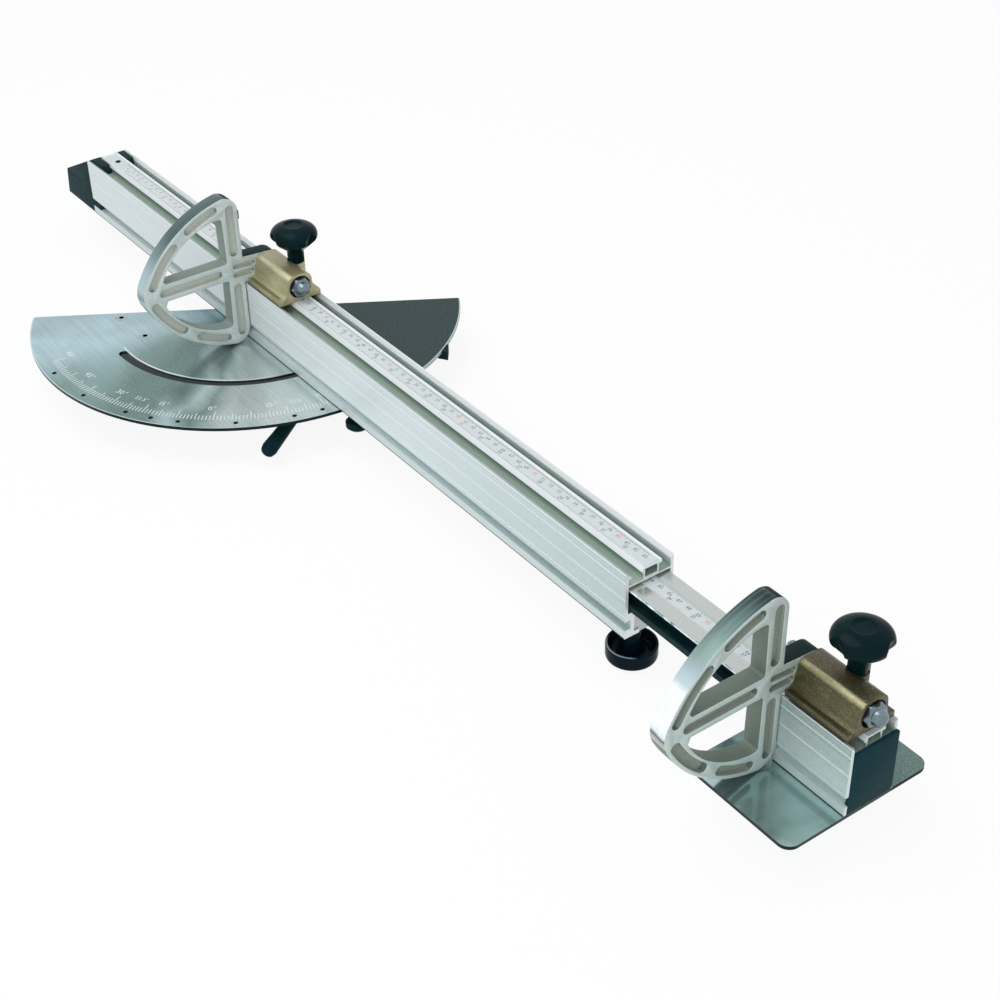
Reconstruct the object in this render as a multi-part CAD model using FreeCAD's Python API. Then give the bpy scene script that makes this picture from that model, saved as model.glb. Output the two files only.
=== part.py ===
import FreeCAD, Part
import math
import os

# Miter stop: a swivelling, telescoping fence with two flip stops.
# Millimetres. The origin is the pivot on the underside of the degree plate.
# X runs along the fence beam to the telescope end, Z is up.

# Degree plate
plate_thickness = 3.0
plate_radius = 200.5
plate_back_strip = 7.0
plate_corner_radius = 3.0
swivel_rest_deg = 32.5
pivot_diameter = 12.0
pivot_head_radius = 9.0
pivot_head_height = 2.2
pivot_block_top = 15.0
pivot_block_half_length = 22.0
pivot_nut_height = 6.0
pivot_nut_flats = 19.0
slot_radius = 127.7
slot_width = 9.0
slot_half_span_deg = 57.9
index_inset = 8.0
index_hole_diameter = 4.2
index_offsets_deg = [-60.0, -45.0, -30.0, -22.5, -15.0, 0.0, 15.0, 22.5, 30.0, 45.0]
table_screw_places = [(-117.4, -1.3), (-92.0, -37.1), (92.0, -37.1)]
table_screw_diameter = 6.0
table_screw_head = 11.0
table_screw_length = 11.0
table_screw_depth = 2.6
table_screw_neck_radius = 2.7
table_screw_neck_drop = 0.6
table_socket_radius = 2.2
table_socket_depth = 2.0

# Fence beam
beam_near_x = 584.4
beam_far_x = -278.9
beam_width = 44.0
beam_height = 58.0
rib_left_y = -7.5
rib_right_y = 11.0
rib_box_left_y = -6.0
rib_box_right_y = 8.2
rib_wall = 1.4
rib_roof = 2.0
lip_y = -16.7
wall_thickness = 2.7
lip_thickness = 2.8
near_lip_thickness = 4.8
bevel_drop = 3.6
near_bevel_run = 5.0
rib_bevel_run = 2.3
far_bevel_run = 2.1
slot_depth = 10.5
web_thickness = 1.5
cavity_bottom = 22.0
channel_half_width = 13.0
channel_roof = 19.0
mouth_half_width = 8.0
mouth_lip = 3.5
side_groove_bottom = 7.6
side_groove_height = 8.0
side_groove_depth = 5.5
face_line_heights = [20.0, 35.0, 50.4]
face_line_width = 0.8
face_line_depth = 0.4
tape_width = 13.0
tape_recess = 0.6
tape_thickness = 0.45
tape_screw_x = -256.0
tape_screw_radius = 1.5
tape_screw_head_radius = 2.6

# Far end cap
cap_tail_x = -337.0
cap_low_height = 28.0
cap_overhang = 4.0
cap_top_plug = 22.0
cap_side_plug = 15.0

# Telescope bar and its guide
bar_inner_x = 300.0
bar_outer_x = 799.0
bar_half_width = 18.0
bar_bottom = 24.5
bar_height = 19.5
bar_recess_bottom = 5.5
bar_recess_height = 11.5
bar_recess_depth = 7.0
bar_core_half = 8.0
bar_skin = 3.0
guide_start_x = 524.0
guide_end_x = 583.4

# Telescope clamp
clamp_x = 567.5
clamp_thread_diameter = 8.0
clamp_pad_diameter = 15.0
wheel_radius = 20.0
wheel_top_z = -21.0
wheel_height = 14.0
wheel_wall = 2.6
wheel_floor = 3.5
wheel_hub_radius = 9.5
wheel_hub_top_z = -8.0
wheel_rib_count = 6
wheel_rib_width = 2.0

# End block and support plate
block_start_x = 738.4
block_end_x = 803.8
block_cap_thickness = 3.0
block_cap_height = 50.0
block_screw_places = [752.0, 786.0]
block_screw_diameter = 5.0
support_start_x = 705.9
support_end_x = 804.0
support_left_y = -70.3
support_right_y = 58.0
support_thickness = 3.0
support_corner = 9.0
support_screw_places = [752.0, 788.0]
support_screw_radius = 2.0
support_screw_y = 15.2
support_screw_head = 3.8

# Swivel clamp, index latch and rim stop
lever_angle_deg = -55.3
lever_reach = 112.0
lever_grip_start = 55.0
lever_grip_radius = 7.0
lever_arm_radius = 4.6
lever_droop_deg = 1.7
lever_thread_depth = 12.2
lever_hub_radius = 10.0
lever_hub_height = 20.0
lever_arm_drop = 11.0
clamp_stud_radius = 4.0
clamp_washer_radius = 11.0
clamp_washer_thickness = 2.0
index_unit_gap = 9.5
index_knob_y = -11.5
index_knob_radius = 10.5
index_arm_thickness = 2.5
index_arm_width = 10.0
index_arm_inset = 6.0
index_arm_reach = 22.0
index_arm_top = -0.5
index_pin_radius = 1.9
index_guide_offset = 16.0
index_guide_radius = 2.0
index_bracket_length = 26.0
index_bracket_height = 14.0
index_foot_drop = 3.2
rim_stop_deg = 33.0
rim_stop_width = 13.0
rim_stop_overlap = 14.0
rim_stop_stand_out = 6.0
rim_stop_taper = 4.5
rim_stop_depth = 6.0
rim_stop_flange = 3.0

# Flip stops
stop_starts_x = [49.3, 741.5]
carrier_length = 56.0
carrier_clearance = 0.15
carrier_foot_height = 4.6
foot_groove_inset = 1.0
foot_groove_width = 2.8
foot_groove_depth = 1.4
foot_groove_stop = 5.0
carrier_foot_back_y = -20.0
carrier_foot_front_y = 21.5
carrier_crest_back_y = -4.6
carrier_crest_front_y = 7.4
carrier_key_drop = 2.4
pin_y = 1.5
pin_z = 74.0
pin_diameter = 10.0
pin_head_radius = 8.0
pin_head_height = 5.5
washer_thickness = 2.0
hub_radius = 12.3
flap_thickness = 14.0
flap_gap = 0.3
spine_back_y = -23.0
spine_front_y = -38.5
flap_centre_z = 76.5
flap_half_height = 72.0
flap_tip_y = -121.3
flap_tip_half_height = 11.7
flap_tip_depth = 3.2
flap_bulge = (-88.8, 48.4)
flap_shoulder_y = -38.0
flap_corner = 13.0
flap_corner_round = (4.2, 4.4)
window_far = (-101.5, 12.5)
window_middle = (-80.0, 39.5)
window_near = (-44.0, 53.8)
window_corner = (-39.3, 53.0)
window_spoke_end_y = -99.5
window_round = 2.5
arm_outline = [(-36.0, 89.0), (1.5, 86.3), (1.5, 61.7), (-17.0, 63.2), (-36.0, 63.6)]
spoke_top_z = 85.8
spoke_bottom_z = 69.2
pocket_depth = 4.5
pocket_width = 8.0
pocket_rim_degs = [(106.0, 121.0), (131.7, 152.8)]
pocket_lane_inset = 6.7
pocket_spine_top = (95.0, 136.5)
pocket_spine_low = (15.5, 59.5)
pocket_spoke = (-102.0, -48.5)
pocket_arm_top = [(-31.0, 80.6), (-14.0, 79.3), 2.6]
pocket_arm_low = [(-31.0, 72.4), (-15.5, 71.7), 2.9]
bumper_heights = [24.5, 128.0]
bumper_length = 8.0
bumper_width = 8.0
bumper_depth = 2.2
bumper_proud = [0.6, 2.4]
nut_across_flats = 17.0
nut_length = 16.0
recess_diameter = 21.0
recess_depth = 8.0
stud_y = 15.15
stud_diameter = 8.0
spot_face_radius = 8.0
boss_radius = 7.5
boss_top_z = 84.0
t_nut_length = 24.0
t_nut_height = 5.0
knob_radius = 21.0
knob_bottom_z = 95.0
knob_top_z = 119.5
knob_stem_radius = 7.5
knob_shoulder_radius = 19.4
knob_shoulder_rise = 10.5
knob_widest_rise = 14.8
knob_brow_radius = 17.8
knob_brow_rise = 21.2
knob_dish_radius = 8.0
knob_dish_depth = 1.2
knob_scoops = 3
scoop_radius = 8.5
scoop_foot = 20.0
scoop_lean_deg = 22.0
knob_turn_deg = 20.0

# Fits
running_clearance = 0.05
thread_clearance = 0.05
seat_gap = 0.2
slide_gap = 0.15

index_radius = plate_radius - index_inset
index_unit_x = plate_radius + index_unit_gap
index_guide_x = index_unit_x + index_guide_offset
rim_stop_inner = plate_radius - rim_stop_overlap
rim_stop_outer = plate_radius + rim_stop_stand_out
beam_base = plate_thickness + seat_gap
beam_top = beam_base + beam_height
half_beam = beam_width / 2.0
tape_y = (rib_left_y + rib_right_y) / 2.0
block_screw_z = beam_base + bar_bottom + bar_recess_bottom + bar_recess_height / 2.0
lever_top_z = -seat_gap - clamp_washer_thickness - seat_gap
BIG = 500.0


def vec(x, y, z):
    return FreeCAD.Vector(x, y, z)


def box(x0, x1, y0, y1, z0, z1):
    return Part.makeBox(x1 - x0, y1 - y0, z1 - z0, vec(x0, y0, z0))


def rod_z(radius, z0, z1, x=0.0, y=0.0):
    return Part.makeCylinder(radius, z1 - z0, vec(x, y, z0))


def rod_x(radius, x0, x1, y, z):
    return Part.makeCylinder(radius, x1 - x0, vec(x0, y, z), vec(1, 0, 0))


def cone_z(r0, r1, z0, z1, x=0.0, y=0.0):
    return Part.makeCone(r0, r1, z1 - z0, vec(x, y, z0))


def hex_x(across_flats, x0, x1, y, z):
    corner = across_flats / math.sqrt(3.0)
    points = []
    for i in range(7):
        angle = math.radians(60.0 * i + 30.0)
        points.append(vec(x0, y + corner * math.cos(angle), z + corner * math.sin(angle)))
    face = Part.Face(Part.makePolygon(points))
    return face.extrude(vec(x1 - x0, 0, 0))


def hex_z(across_flats, z0, z1, x, y):
    corner = across_flats / math.sqrt(3.0)
    points = []
    for i in range(7):
        angle = math.radians(60.0 * i)
        points.append(vec(x + corner * math.cos(angle), y + corner * math.sin(angle), z0))
    face = Part.Face(Part.makePolygon(points))
    return face.extrude(vec(0, 0, z1 - z0))


def turned(profile, x=0.0, y=0.0):
    # Solid of revolution about Z from (radius, z) pairs
    points = [vec(x + r, y, z) for r, z in profile]
    points.append(points[0])
    face = Part.Face(Part.makePolygon(points))
    return face.revolve(vec(x, y, 0), vec(0, 0, 1), 360)


def to_fence_section(shape):
    # Carries a shape drawn flat in (Y, Z) with its depth along +X into place
    placed = shape.copy()
    placed.Placement = FreeCAD.Placement(vec(0, 0, 0), FreeCAD.Rotation(vec(1, 1, 1), 120))
    return placed


def ring_slot(radius, half_width, start_deg, end_deg, z0, z1, cx=0.0, cy=0.0):
    # Curved slot with round ends about a vertical axis
    span = end_deg - start_deg
    outer = Part.makeCylinder(radius + half_width, z1 - z0, vec(0, 0, z0), vec(0, 0, 1), span)
    inner = Part.makeCylinder(radius - half_width, z1 - z0, vec(0, 0, z0))
    body = outer.cut(inner)
    body.rotate(vec(0, 0, 0), vec(0, 0, 1), start_deg)
    for angle in (start_deg, end_deg):
        a = math.radians(angle)
        end = rod_z(half_width, z0, z1, radius * math.cos(a), radius * math.sin(a))
        body = body.fuse(end)
    body.translate(vec(cx, cy, 0))
    return body.removeSplitter()


def straight_slot(p, q, half_width, z0, z1):
    # Straight slot with round ends between two points
    dx = q[0] - p[0]
    dy = q[1] - p[1]
    length = math.hypot(dx, dy)
    bar = Part.makeBox(length, 2.0 * half_width, z1 - z0, vec(0, -half_width, z0))
    bar.rotate(vec(0, 0, 0), vec(0, 0, 1), math.degrees(math.atan2(dy, dx)))
    bar.translate(vec(p[0], p[1], 0))
    for point in (p, q):
        bar = bar.fuse(rod_z(half_width, z0, z1, point[0], point[1]))
    return bar.removeSplitter()


def fillet_vertical(shape, radius, test):
    edges = []
    for edge in shape.Edges:
        if len(edge.Vertexes) != 2:
            continue
        a = edge.Vertexes[0].Point
        b = edge.Vertexes[1].Point
        upright = abs(a.x - b.x) < 1e-6 and abs(a.y - b.y) < 1e-6
        if upright and test(a):
            edges.append(edge)
    return shape.makeFillet(radius, edges)


# Degree plate

def plate_point(along, off):
    # Point in the fence frame from a place on the plate:
    # along its straight edge and off from the pivot, away from the arc
    edge_angle = math.radians(90.0 - swivel_rest_deg)
    ex = math.cos(edge_angle)
    ey = math.sin(edge_angle)
    return along * ex - off * ey, along * ey + off * ex


def degree_plate():
    disc = rod_z(plate_radius, 0.0, plate_thickness)
    beyond = box(-BIG, -plate_back_strip, -BIG, BIG, -1.0, plate_thickness + 1.0)
    plate = disc.cut(beyond)
    plate = fillet_vertical(plate, plate_corner_radius, lambda p: p.x < 0.0)
    slot = ring_slot(slot_radius, slot_width / 2.0, -slot_half_span_deg, slot_half_span_deg,
                     -1.0, plate_thickness + 1.0)
    plate = plate.cut(slot)
    holes = []
    for offset in index_offsets_deg:
        a = math.radians(offset)
        holes.append(rod_z(index_hole_diameter / 2.0, -1.0, plate_thickness + 1.0,
                           index_radius * math.cos(a), index_radius * math.sin(a)))
    plate = plate.cut(Part.makeCompound(holes))
    plate.rotate(vec(0, 0, 0), vec(0, 0, 1), -swivel_rest_deg)
    plate = plate.cut(rod_z(pivot_diameter / 2.0 + running_clearance, -1.0, plate_thickness + 1.0))
    plate = plate.cut(cone_z(pivot_head_radius + running_clearance, pivot_diameter / 2.0 + running_clearance,
                             0.0, pivot_head_height))
    for along, off in table_screw_places:
        x, y = plate_point(along, off)
        sink = cone_z(table_screw_diameter / 2.0 + seat_gap, table_screw_head / 2.0 + seat_gap,
                      plate_thickness - table_screw_depth, plate_thickness, x, y)
        shank = rod_z(table_screw_diameter / 2.0 + seat_gap, -1.0, plate_thickness + 1.0, x, y)
        plate = plate.cut(sink).cut(shank)
    return plate


def table_screw(x, y):
    head = cone_z(table_screw_diameter / 2.0, table_screw_head / 2.0,
                  plate_thickness - table_screw_depth, plate_thickness, x, y)
    neck = rod_z(table_screw_neck_radius, -table_screw_neck_drop, plate_thickness - table_screw_depth, x, y)
    shank = rod_z(table_screw_diameter / 2.0, plate_thickness - table_screw_length,
                  -table_screw_neck_drop, x, y)
    screw = head.fuse([neck, shank]).removeSplitter()
    socket = hex_z(2.0 * table_socket_radius, plate_thickness - table_socket_depth,
                   plate_thickness + 1.0, x, y)
    return screw.cut(socket)


# Pivot under the beam

def pivot_pin():
    # Flush below so that the plate's underside stays flat
    head = cone_z(pivot_head_radius, pivot_diameter / 2.0, 0.0, pivot_head_height)
    shank = rod_z(pivot_diameter / 2.0, pivot_head_height, pivot_block_top + seat_gap + pivot_nut_height)
    return head.fuse(shank).removeSplitter()


def pivot_nut():
    bottom = pivot_block_top + seat_gap
    nut = hex_z(pivot_nut_flats, bottom, bottom + pivot_nut_height, 0.0, 0.0)
    bore = rod_z(pivot_diameter / 2.0 + thread_clearance, bottom - 1.0, bottom + pivot_nut_height + 1.0)
    return nut.cut(bore)


def channel_block(x0, x1, top):
    # T-shaped block running in the channel on the underside of the beam
    body = box(x0, x1, -(channel_half_width - seat_gap), channel_half_width - seat_gap,
               beam_base + mouth_lip + seat_gap, top)
    neck = box(x0, x1, -(mouth_half_width - seat_gap), mouth_half_width - seat_gap,
               beam_base + seat_gap, beam_base + mouth_lip + seat_gap)
    return body.fuse(neck).removeSplitter()


def pivot_block():
    block = channel_block(-pivot_block_half_length, pivot_block_half_length, pivot_block_top)
    bore = rod_z(pivot_diameter / 2.0 + running_clearance, -1.0, pivot_block_top + 1.0)
    return block.cut(bore)


# Fence beam

def slot_bevel(x0, x1, high_y, low_y, low_z):
    # Wedge over a slot lip, from the top face at high_y down to the slot edge at low_y
    top = beam_top + 1.0
    points = [vec(x0, high_y, beam_top), vec(x0, low_y, low_z), vec(x0, low_y, top), vec(x0, high_y, top)]
    face = Part.Face(Part.makePolygon(points + [points[0]]))
    return face.extrude(vec(x1 - x0, 0, 0))


def fence_profile(x0, x1):
    wall_y = half_beam - wall_thickness
    chamber_top = beam_top - lip_thickness
    near_top = beam_top - near_lip_thickness
    bevel_z = beam_top - bevel_drop
    chamber_bottom = beam_top - slot_depth
    web_bottom = chamber_bottom - web_thickness
    a = x0 - 1.0
    b = x1 + 1.0
    body = box(x0, x1, -half_beam, half_beam, beam_base, beam_top)
    cuts = []
    cuts.append(box(a, b, lip_y, rib_left_y, near_top - 0.1, beam_top + 1.0))
    cuts.append(box(a, b, -wall_y, rib_box_left_y, chamber_bottom, near_top))
    cuts.append(slot_bevel(a, b, lip_y - near_bevel_run, lip_y, bevel_z))
    cuts.append(slot_bevel(a, b, rib_left_y + rib_bevel_run, rib_left_y, bevel_z))
    cuts.append(slot_bevel(a, b, wall_y + far_bevel_run, wall_y, bevel_z))
    cuts.append(box(a, b, rib_right_y, wall_y, chamber_top - 0.1, beam_top + 1.0))
    cuts.append(box(a, b, rib_box_right_y, wall_y, chamber_bottom, chamber_top))
    cuts.append(box(a, b, rib_box_left_y + rib_wall, rib_box_right_y - rib_wall,
                    chamber_bottom + rib_wall, beam_top - rib_roof))
    cuts.append(box(a, b, tape_y - tape_width / 2.0 - slide_gap, tape_y + tape_width / 2.0 + slide_gap,
                    beam_top - tape_recess, beam_top + 1.0))
    cuts.append(box(a, b, -wall_y, wall_y, beam_base + cavity_bottom, web_bottom))
    cuts.append(box(a, b, -channel_half_width, channel_half_width,
                    beam_base + mouth_lip, beam_base + channel_roof))
    cuts.append(box(a, b, -mouth_half_width, mouth_half_width, beam_base - 1.0, beam_base + mouth_lip + 0.1))
    groove_bottom = beam_base + side_groove_bottom
    groove_top = groove_bottom + side_groove_height
    for side in (-1.0, 1.0):
        y_low = min(side * half_beam * 1.1, side * (half_beam - side_groove_depth))
        y_high = max(side * half_beam * 1.1, side * (half_beam - side_groove_depth))
        cuts.append(box(a, b, y_low, y_high, groove_bottom, groove_top))
        for height in face_line_heights:
            y_low = min(side * half_beam * 1.1, side * (half_beam - face_line_depth))
            y_high = max(side * half_beam * 1.1, side * (half_beam - face_line_depth))
            line = beam_base + height
            cuts.append(box(a, b, y_low, y_high, line - face_line_width / 2.0, line + face_line_width / 2.0))
    return body.cut(cuts)


def beam_profile():
    beam = fence_profile(beam_far_x, beam_near_x)
    screw_hole = rod_z(clamp_thread_diameter / 2.0 + 1.0, beam_base + channel_roof - 1.0,
                       beam_base + cavity_bottom + 1.0, clamp_x, 0.0)
    tape_hole = rod_z(tape_screw_radius + thread_clearance, beam_top - rib_roof - 1.0, beam_top + 1.0,
                      tape_screw_x, tape_y)
    return beam.cut(screw_hole).cut(tape_hole)


def tape_strip(x0, x1, y, top):
    return box(x0, x1, y - tape_width / 2.0, y + tape_width / 2.0,
               top - tape_recess + 0.05, top - tape_recess + 0.05 + tape_thickness)


def beam_tape():
    tape = tape_strip(beam_far_x + 4.0, beam_near_x - 1.0, tape_y, beam_top)
    hole = rod_z(tape_screw_radius + slide_gap, beam_top - 5.0, beam_top + 1.0, tape_screw_x, tape_y)
    return tape.cut(hole)


def tape_screw():
    shank = rod_z(tape_screw_radius, beam_top - rib_roof + 0.1, beam_top, tape_screw_x, tape_y)
    head = rod_z(tape_screw_head_radius, beam_top, beam_top + 0.5, tape_screw_x, tape_y)
    slot = box(tape_screw_x - 3.0, tape_screw_x + 3.0, tape_y - 0.35, tape_y + 0.35,
               beam_top + 0.2, beam_top + 2.0)
    return shank.fuse(head).removeSplitter().cut(slot)


# Black cap on the far end

def beam_end_cap():
    start = beam_far_x - seat_gap
    points = [vec(start, 0, beam_base), vec(start, 0, beam_top - 1.0),
              vec(cap_tail_x, 0, beam_base + cap_low_height),
              vec(cap_tail_x - cap_overhang, 0, beam_base), vec(start, 0, beam_base)]
    face = Part.Face(Part.makePolygon(points))
    body = face.extrude(vec(0, beam_width, 0))
    body.translate(vec(0, -half_beam, 0))
    line_z = beam_base + cap_low_height - 2.0
    for side in (-1.0, 1.0):
        y_low = min(side * half_beam * 1.1, side * (half_beam - face_line_depth))
        y_high = max(side * half_beam * 1.1, side * (half_beam - face_line_depth))
        body = body.cut(box(cap_tail_x - BIG, beam_far_x - 20.0, y_low, y_high, line_z, line_z + 1.0))
    wall_y = half_beam - wall_thickness
    chamber_top = beam_top - lip_thickness
    near_top = beam_top - near_lip_thickness
    chamber_bottom = beam_top - slot_depth
    g = seat_gap
    plug_end = beam_far_x + cap_top_plug
    plugs = [
        box(start, plug_end, -wall_y + g, rib_box_left_y - g, chamber_bottom + g, near_top - g),
        box(start, plug_end, lip_y + g, rib_left_y - g, near_top - g, beam_top - 0.6),
        box(start, plug_end, rib_box_right_y + g, wall_y - g, chamber_bottom + g, chamber_top - g),
        box(start, plug_end, rib_right_y + g, wall_y - g, chamber_top - g, beam_top - 0.6),
        box(start, beam_far_x + cap_side_plug, -wall_y + g, wall_y - g,
            beam_base + cavity_bottom + g, chamber_bottom - web_thickness - g)]
    groove_bottom = beam_base + side_groove_bottom + g
    groove_top = beam_base + side_groove_bottom + side_groove_height - g
    for side in (-1.0, 1.0):
        y_low = min(side * (half_beam - 0.3), side * (half_beam - side_groove_depth + g))
        y_high = max(side * (half_beam - 0.3), side * (half_beam - side_groove_depth + g))
        plugs.append(box(start, beam_far_x + cap_side_plug, y_low, y_high, groove_bottom, groove_top))
    return body.fuse(plugs).removeSplitter()


# Telescope bar, its guide and its tape

def extension_bar():
    z0 = beam_base + bar_bottom
    z1 = z0 + bar_height
    bar = box(bar_inner_x, bar_outer_x, -bar_half_width, bar_half_width, z0, z1)
    r0 = z0 + bar_recess_bottom
    r1 = r0 + bar_recess_height
    cuts = []
    for side in (-1.0, 1.0):
        y_low = min(side * bar_half_width * 1.1, side * (bar_half_width - bar_recess_depth))
        y_high = max(side * bar_half_width * 1.1, side * (bar_half_width - bar_recess_depth))
        cuts.append(box(bar_inner_x - 1.0, bar_outer_x + 1.0, y_low, y_high, r0, r1))
    cuts.append(box(bar_inner_x - 1.0, bar_outer_x + 1.0, -tape_width / 2.0 - slide_gap,
                    tape_width / 2.0 + slide_gap, z1 - tape_recess, z1 + 1.0))
    cuts.append(box(bar_inner_x - 1.0, bar_outer_x + 1.0, -bar_core_half, bar_core_half,
                    z0 + bar_skin, z1 - tape_recess - bar_skin))
    for x in block_screw_places:
        cuts.append(Part.makeCylinder(block_screw_diameter / 2.0 + thread_clearance, 20.0,
                                      vec(x, bar_core_half, block_screw_z), vec(0, 1, 0)))
    return bar.cut(cuts)


def extension_tape():
    top = beam_base + bar_bottom + bar_height
    return tape_strip(bar_inner_x + 2.0, block_start_x + 20.0, 0.0, top)


def extension_guide():
    wall_y = half_beam - wall_thickness
    floor = beam_base + cavity_bottom
    bottom = box(guide_start_x, guide_end_x, -wall_y + slide_gap, wall_y - slide_gap,
                 floor + slide_gap, beam_base + bar_bottom - slide_gap)
    guide = bottom
    for side in (-1.0, 1.0):
        y_low = min(side * (bar_half_width + slide_gap), side * (wall_y - slide_gap))
        y_high = max(side * (bar_half_width + slide_gap), side * (wall_y - slide_gap))
        guide = guide.fuse(box(guide_start_x, guide_end_x, y_low, y_high,
                               floor + slide_gap, beam_base + bar_bottom + bar_height - 3.0))
    guide = guide.removeSplitter()
    pad_hole = rod_z(clamp_pad_diameter / 2.0 + 0.8, floor - 1.0, floor + 6.0, clamp_x, 0.0)
    return guide.cut(pad_hole)


# Telescope clamp below the beam

def clamp_block():
    block = channel_block(clamp_x - 17.0, beam_near_x - 1.0, beam_base + channel_roof - 1.0)
    bore = rod_z(clamp_thread_diameter / 2.0 + thread_clearance, -1.0, beam_top, clamp_x, 0.0)
    return block.cut(bore)


def clamp_screw():
    top = beam_base + cavity_bottom + 0.2
    return rod_z(clamp_thread_diameter / 2.0, wheel_top_z - 6.0, top, clamp_x, 0.0)


def clamp_pad():
    bottom = beam_base + cavity_bottom + 0.25
    top = beam_base + bar_bottom - slide_gap
    return rod_z(clamp_pad_diameter / 2.0, bottom, top, clamp_x, 0.0)


def handwheel():
    bottom = wheel_top_z - wheel_height
    r = wheel_radius
    rim_in = r - wheel_wall
    floor = bottom + wheel_floor
    cup = turned([(0.0, bottom), (r - 5.0, bottom), (r - 1.5, bottom + 1.5), (r, bottom + 5.0),
                  (r, wheel_top_z - 1.0), (r - 0.8, wheel_top_z), (rim_in + 0.6, wheel_top_z),
                  (rim_in, wheel_top_z - 0.8), (rim_in, floor), (0.0, floor)], clamp_x, 0.0)
    hub = cone_z(wheel_hub_radius, wheel_hub_radius - 1.5, floor - 0.5, wheel_hub_top_z, clamp_x, 0.0)
    wheel = cup.fuse(hub)
    for i in range(wheel_rib_count):
        rib = box(clamp_x + wheel_hub_radius - 3.0, clamp_x + rim_in + 0.5, -wheel_rib_width / 2.0,
                  wheel_rib_width / 2.0, floor - 0.5, wheel_top_z - 3.0)
        rib.rotate(vec(clamp_x, 0, 0), vec(0, 0, 1), 360.0 * i / wheel_rib_count + 15.0)
        wheel = wheel.fuse(rib)
    bore = rod_z(clamp_thread_diameter / 2.0 + thread_clearance, wheel_top_z - 6.2,
                 wheel_hub_top_z + 1.0, clamp_x, 0.0)
    return wheel.removeSplitter().cut(bore)


# End block on the telescope bar

def end_block():
    cut_x = block_end_x - block_cap_thickness
    block = fence_profile(block_start_x, cut_x)
    tail = fence_profile(cut_x, block_end_x)
    keep = box(cut_x - 1.0, block_end_x + 1.0, -half_beam - 1.0, -half_beam + wall_thickness,
               beam_base - 1.0, beam_top + 1.0)
    block = block.fuse(tail.common(keep)).removeSplitter()
    for x in block_screw_places:
        hole = Part.makeCylinder(block_screw_diameter / 2.0 + slide_gap, 20.0,
                                 vec(x, bar_half_width - 1.0, block_screw_z), vec(0, 1, 0))
        block = block.cut(hole)
    for x in support_screw_places:
        for side in (-1.0, 1.0):
            hole = rod_z(support_screw_radius + thread_clearance, beam_base - 1.0, beam_base + 7.0,
                         x, side * support_screw_y)
            block = block.cut(hole)
    return block


def end_block_cap():
    x0 = block_end_x - block_cap_thickness + seat_gap
    plate = box(x0, block_end_x + 0.3, -half_beam + wall_thickness + seat_gap, half_beam,
                beam_base + 0.3, beam_base + block_cap_height)
    wall_y = half_beam - wall_thickness
    plug = box(bar_outer_x + seat_gap, x0, -bar_half_width + 1.0, bar_half_width - 1.0,
               beam_base + cavity_bottom + 1.0, beam_top - slot_depth - web_thickness - 1.0)
    lower = box(x0 - 6.0, x0, -channel_half_width + seat_gap, channel_half_width - seat_gap,
                beam_base + mouth_lip + seat_gap, beam_base + channel_roof - seat_gap)
    return plate.fuse([plug, lower]).removeSplitter()


def block_screws():
    screws = []
    outer = half_beam + 0.2
    for x in block_screw_places:
        shank = Part.makeCylinder(block_screw_diameter / 2.0, outer - 9.0,
                                  vec(x, 9.0, block_screw_z), vec(0, 1, 0))
        head = Part.makeCylinder(4.25, 4.5, vec(x, outer, block_screw_z), vec(0, 1, 0))
        socket = Part.makeCylinder(2.1, 3.0, vec(x, outer + 2.0, block_screw_z), vec(0, 1, 0))
        screws.append(shank.fuse(head).removeSplitter().cut(socket))
    return screws


def support_plate():
    top = beam_base - seat_gap
    plate = box(support_start_x, support_end_x, support_left_y, support_right_y,
                top - support_thickness, top)
    plate = fillet_vertical(plate, support_corner, lambda p: True)
    for x in support_screw_places:
        for side in (-1.0, 1.0):
            y = side * support_screw_y
            hole = cone_z(support_screw_head + 0.1, support_screw_radius + 0.1,
                          top - support_thickness, top, x, y)
            plate = plate.cut(hole)
    return plate


def support_screws():
    top = beam_base - seat_gap
    screws = []
    for x in support_screw_places:
        for side in (-1.0, 1.0):
            y = side * support_screw_y
            head = cone_z(support_screw_head, support_screw_radius, top - support_thickness, top, x, y)
            shank = rod_z(support_screw_radius, top, beam_base + 6.0, x, y)
            screw = head.fuse(shank).removeSplitter()
            socket = rod_z(1.3, top - support_thickness - 1.0, top - 1.0, x, y)
            screws.append(screw.cut(socket))
    return screws


# Swivel clamp through the curved slot

def swivel_stud():
    shank = rod_z(clamp_stud_radius, lever_top_z - 12.0, beam_base + mouth_lip + seat_gap, slot_radius, 0.0)
    head = box(slot_radius - 12.0, slot_radius + 12.0, -channel_half_width + 0.5, channel_half_width - 0.5,
               beam_base + mouth_lip + seat_gap, beam_base + mouth_lip + seat_gap + 6.0)
    return shank.fuse(head).removeSplitter()


def swivel_washer():
    washer = rod_z(clamp_washer_radius, -seat_gap - clamp_washer_thickness, -seat_gap, slot_radius, 0.0)
    return washer.cut(rod_z(clamp_stud_radius + slide_gap, -5.0, 1.0, slot_radius, 0.0))


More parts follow.
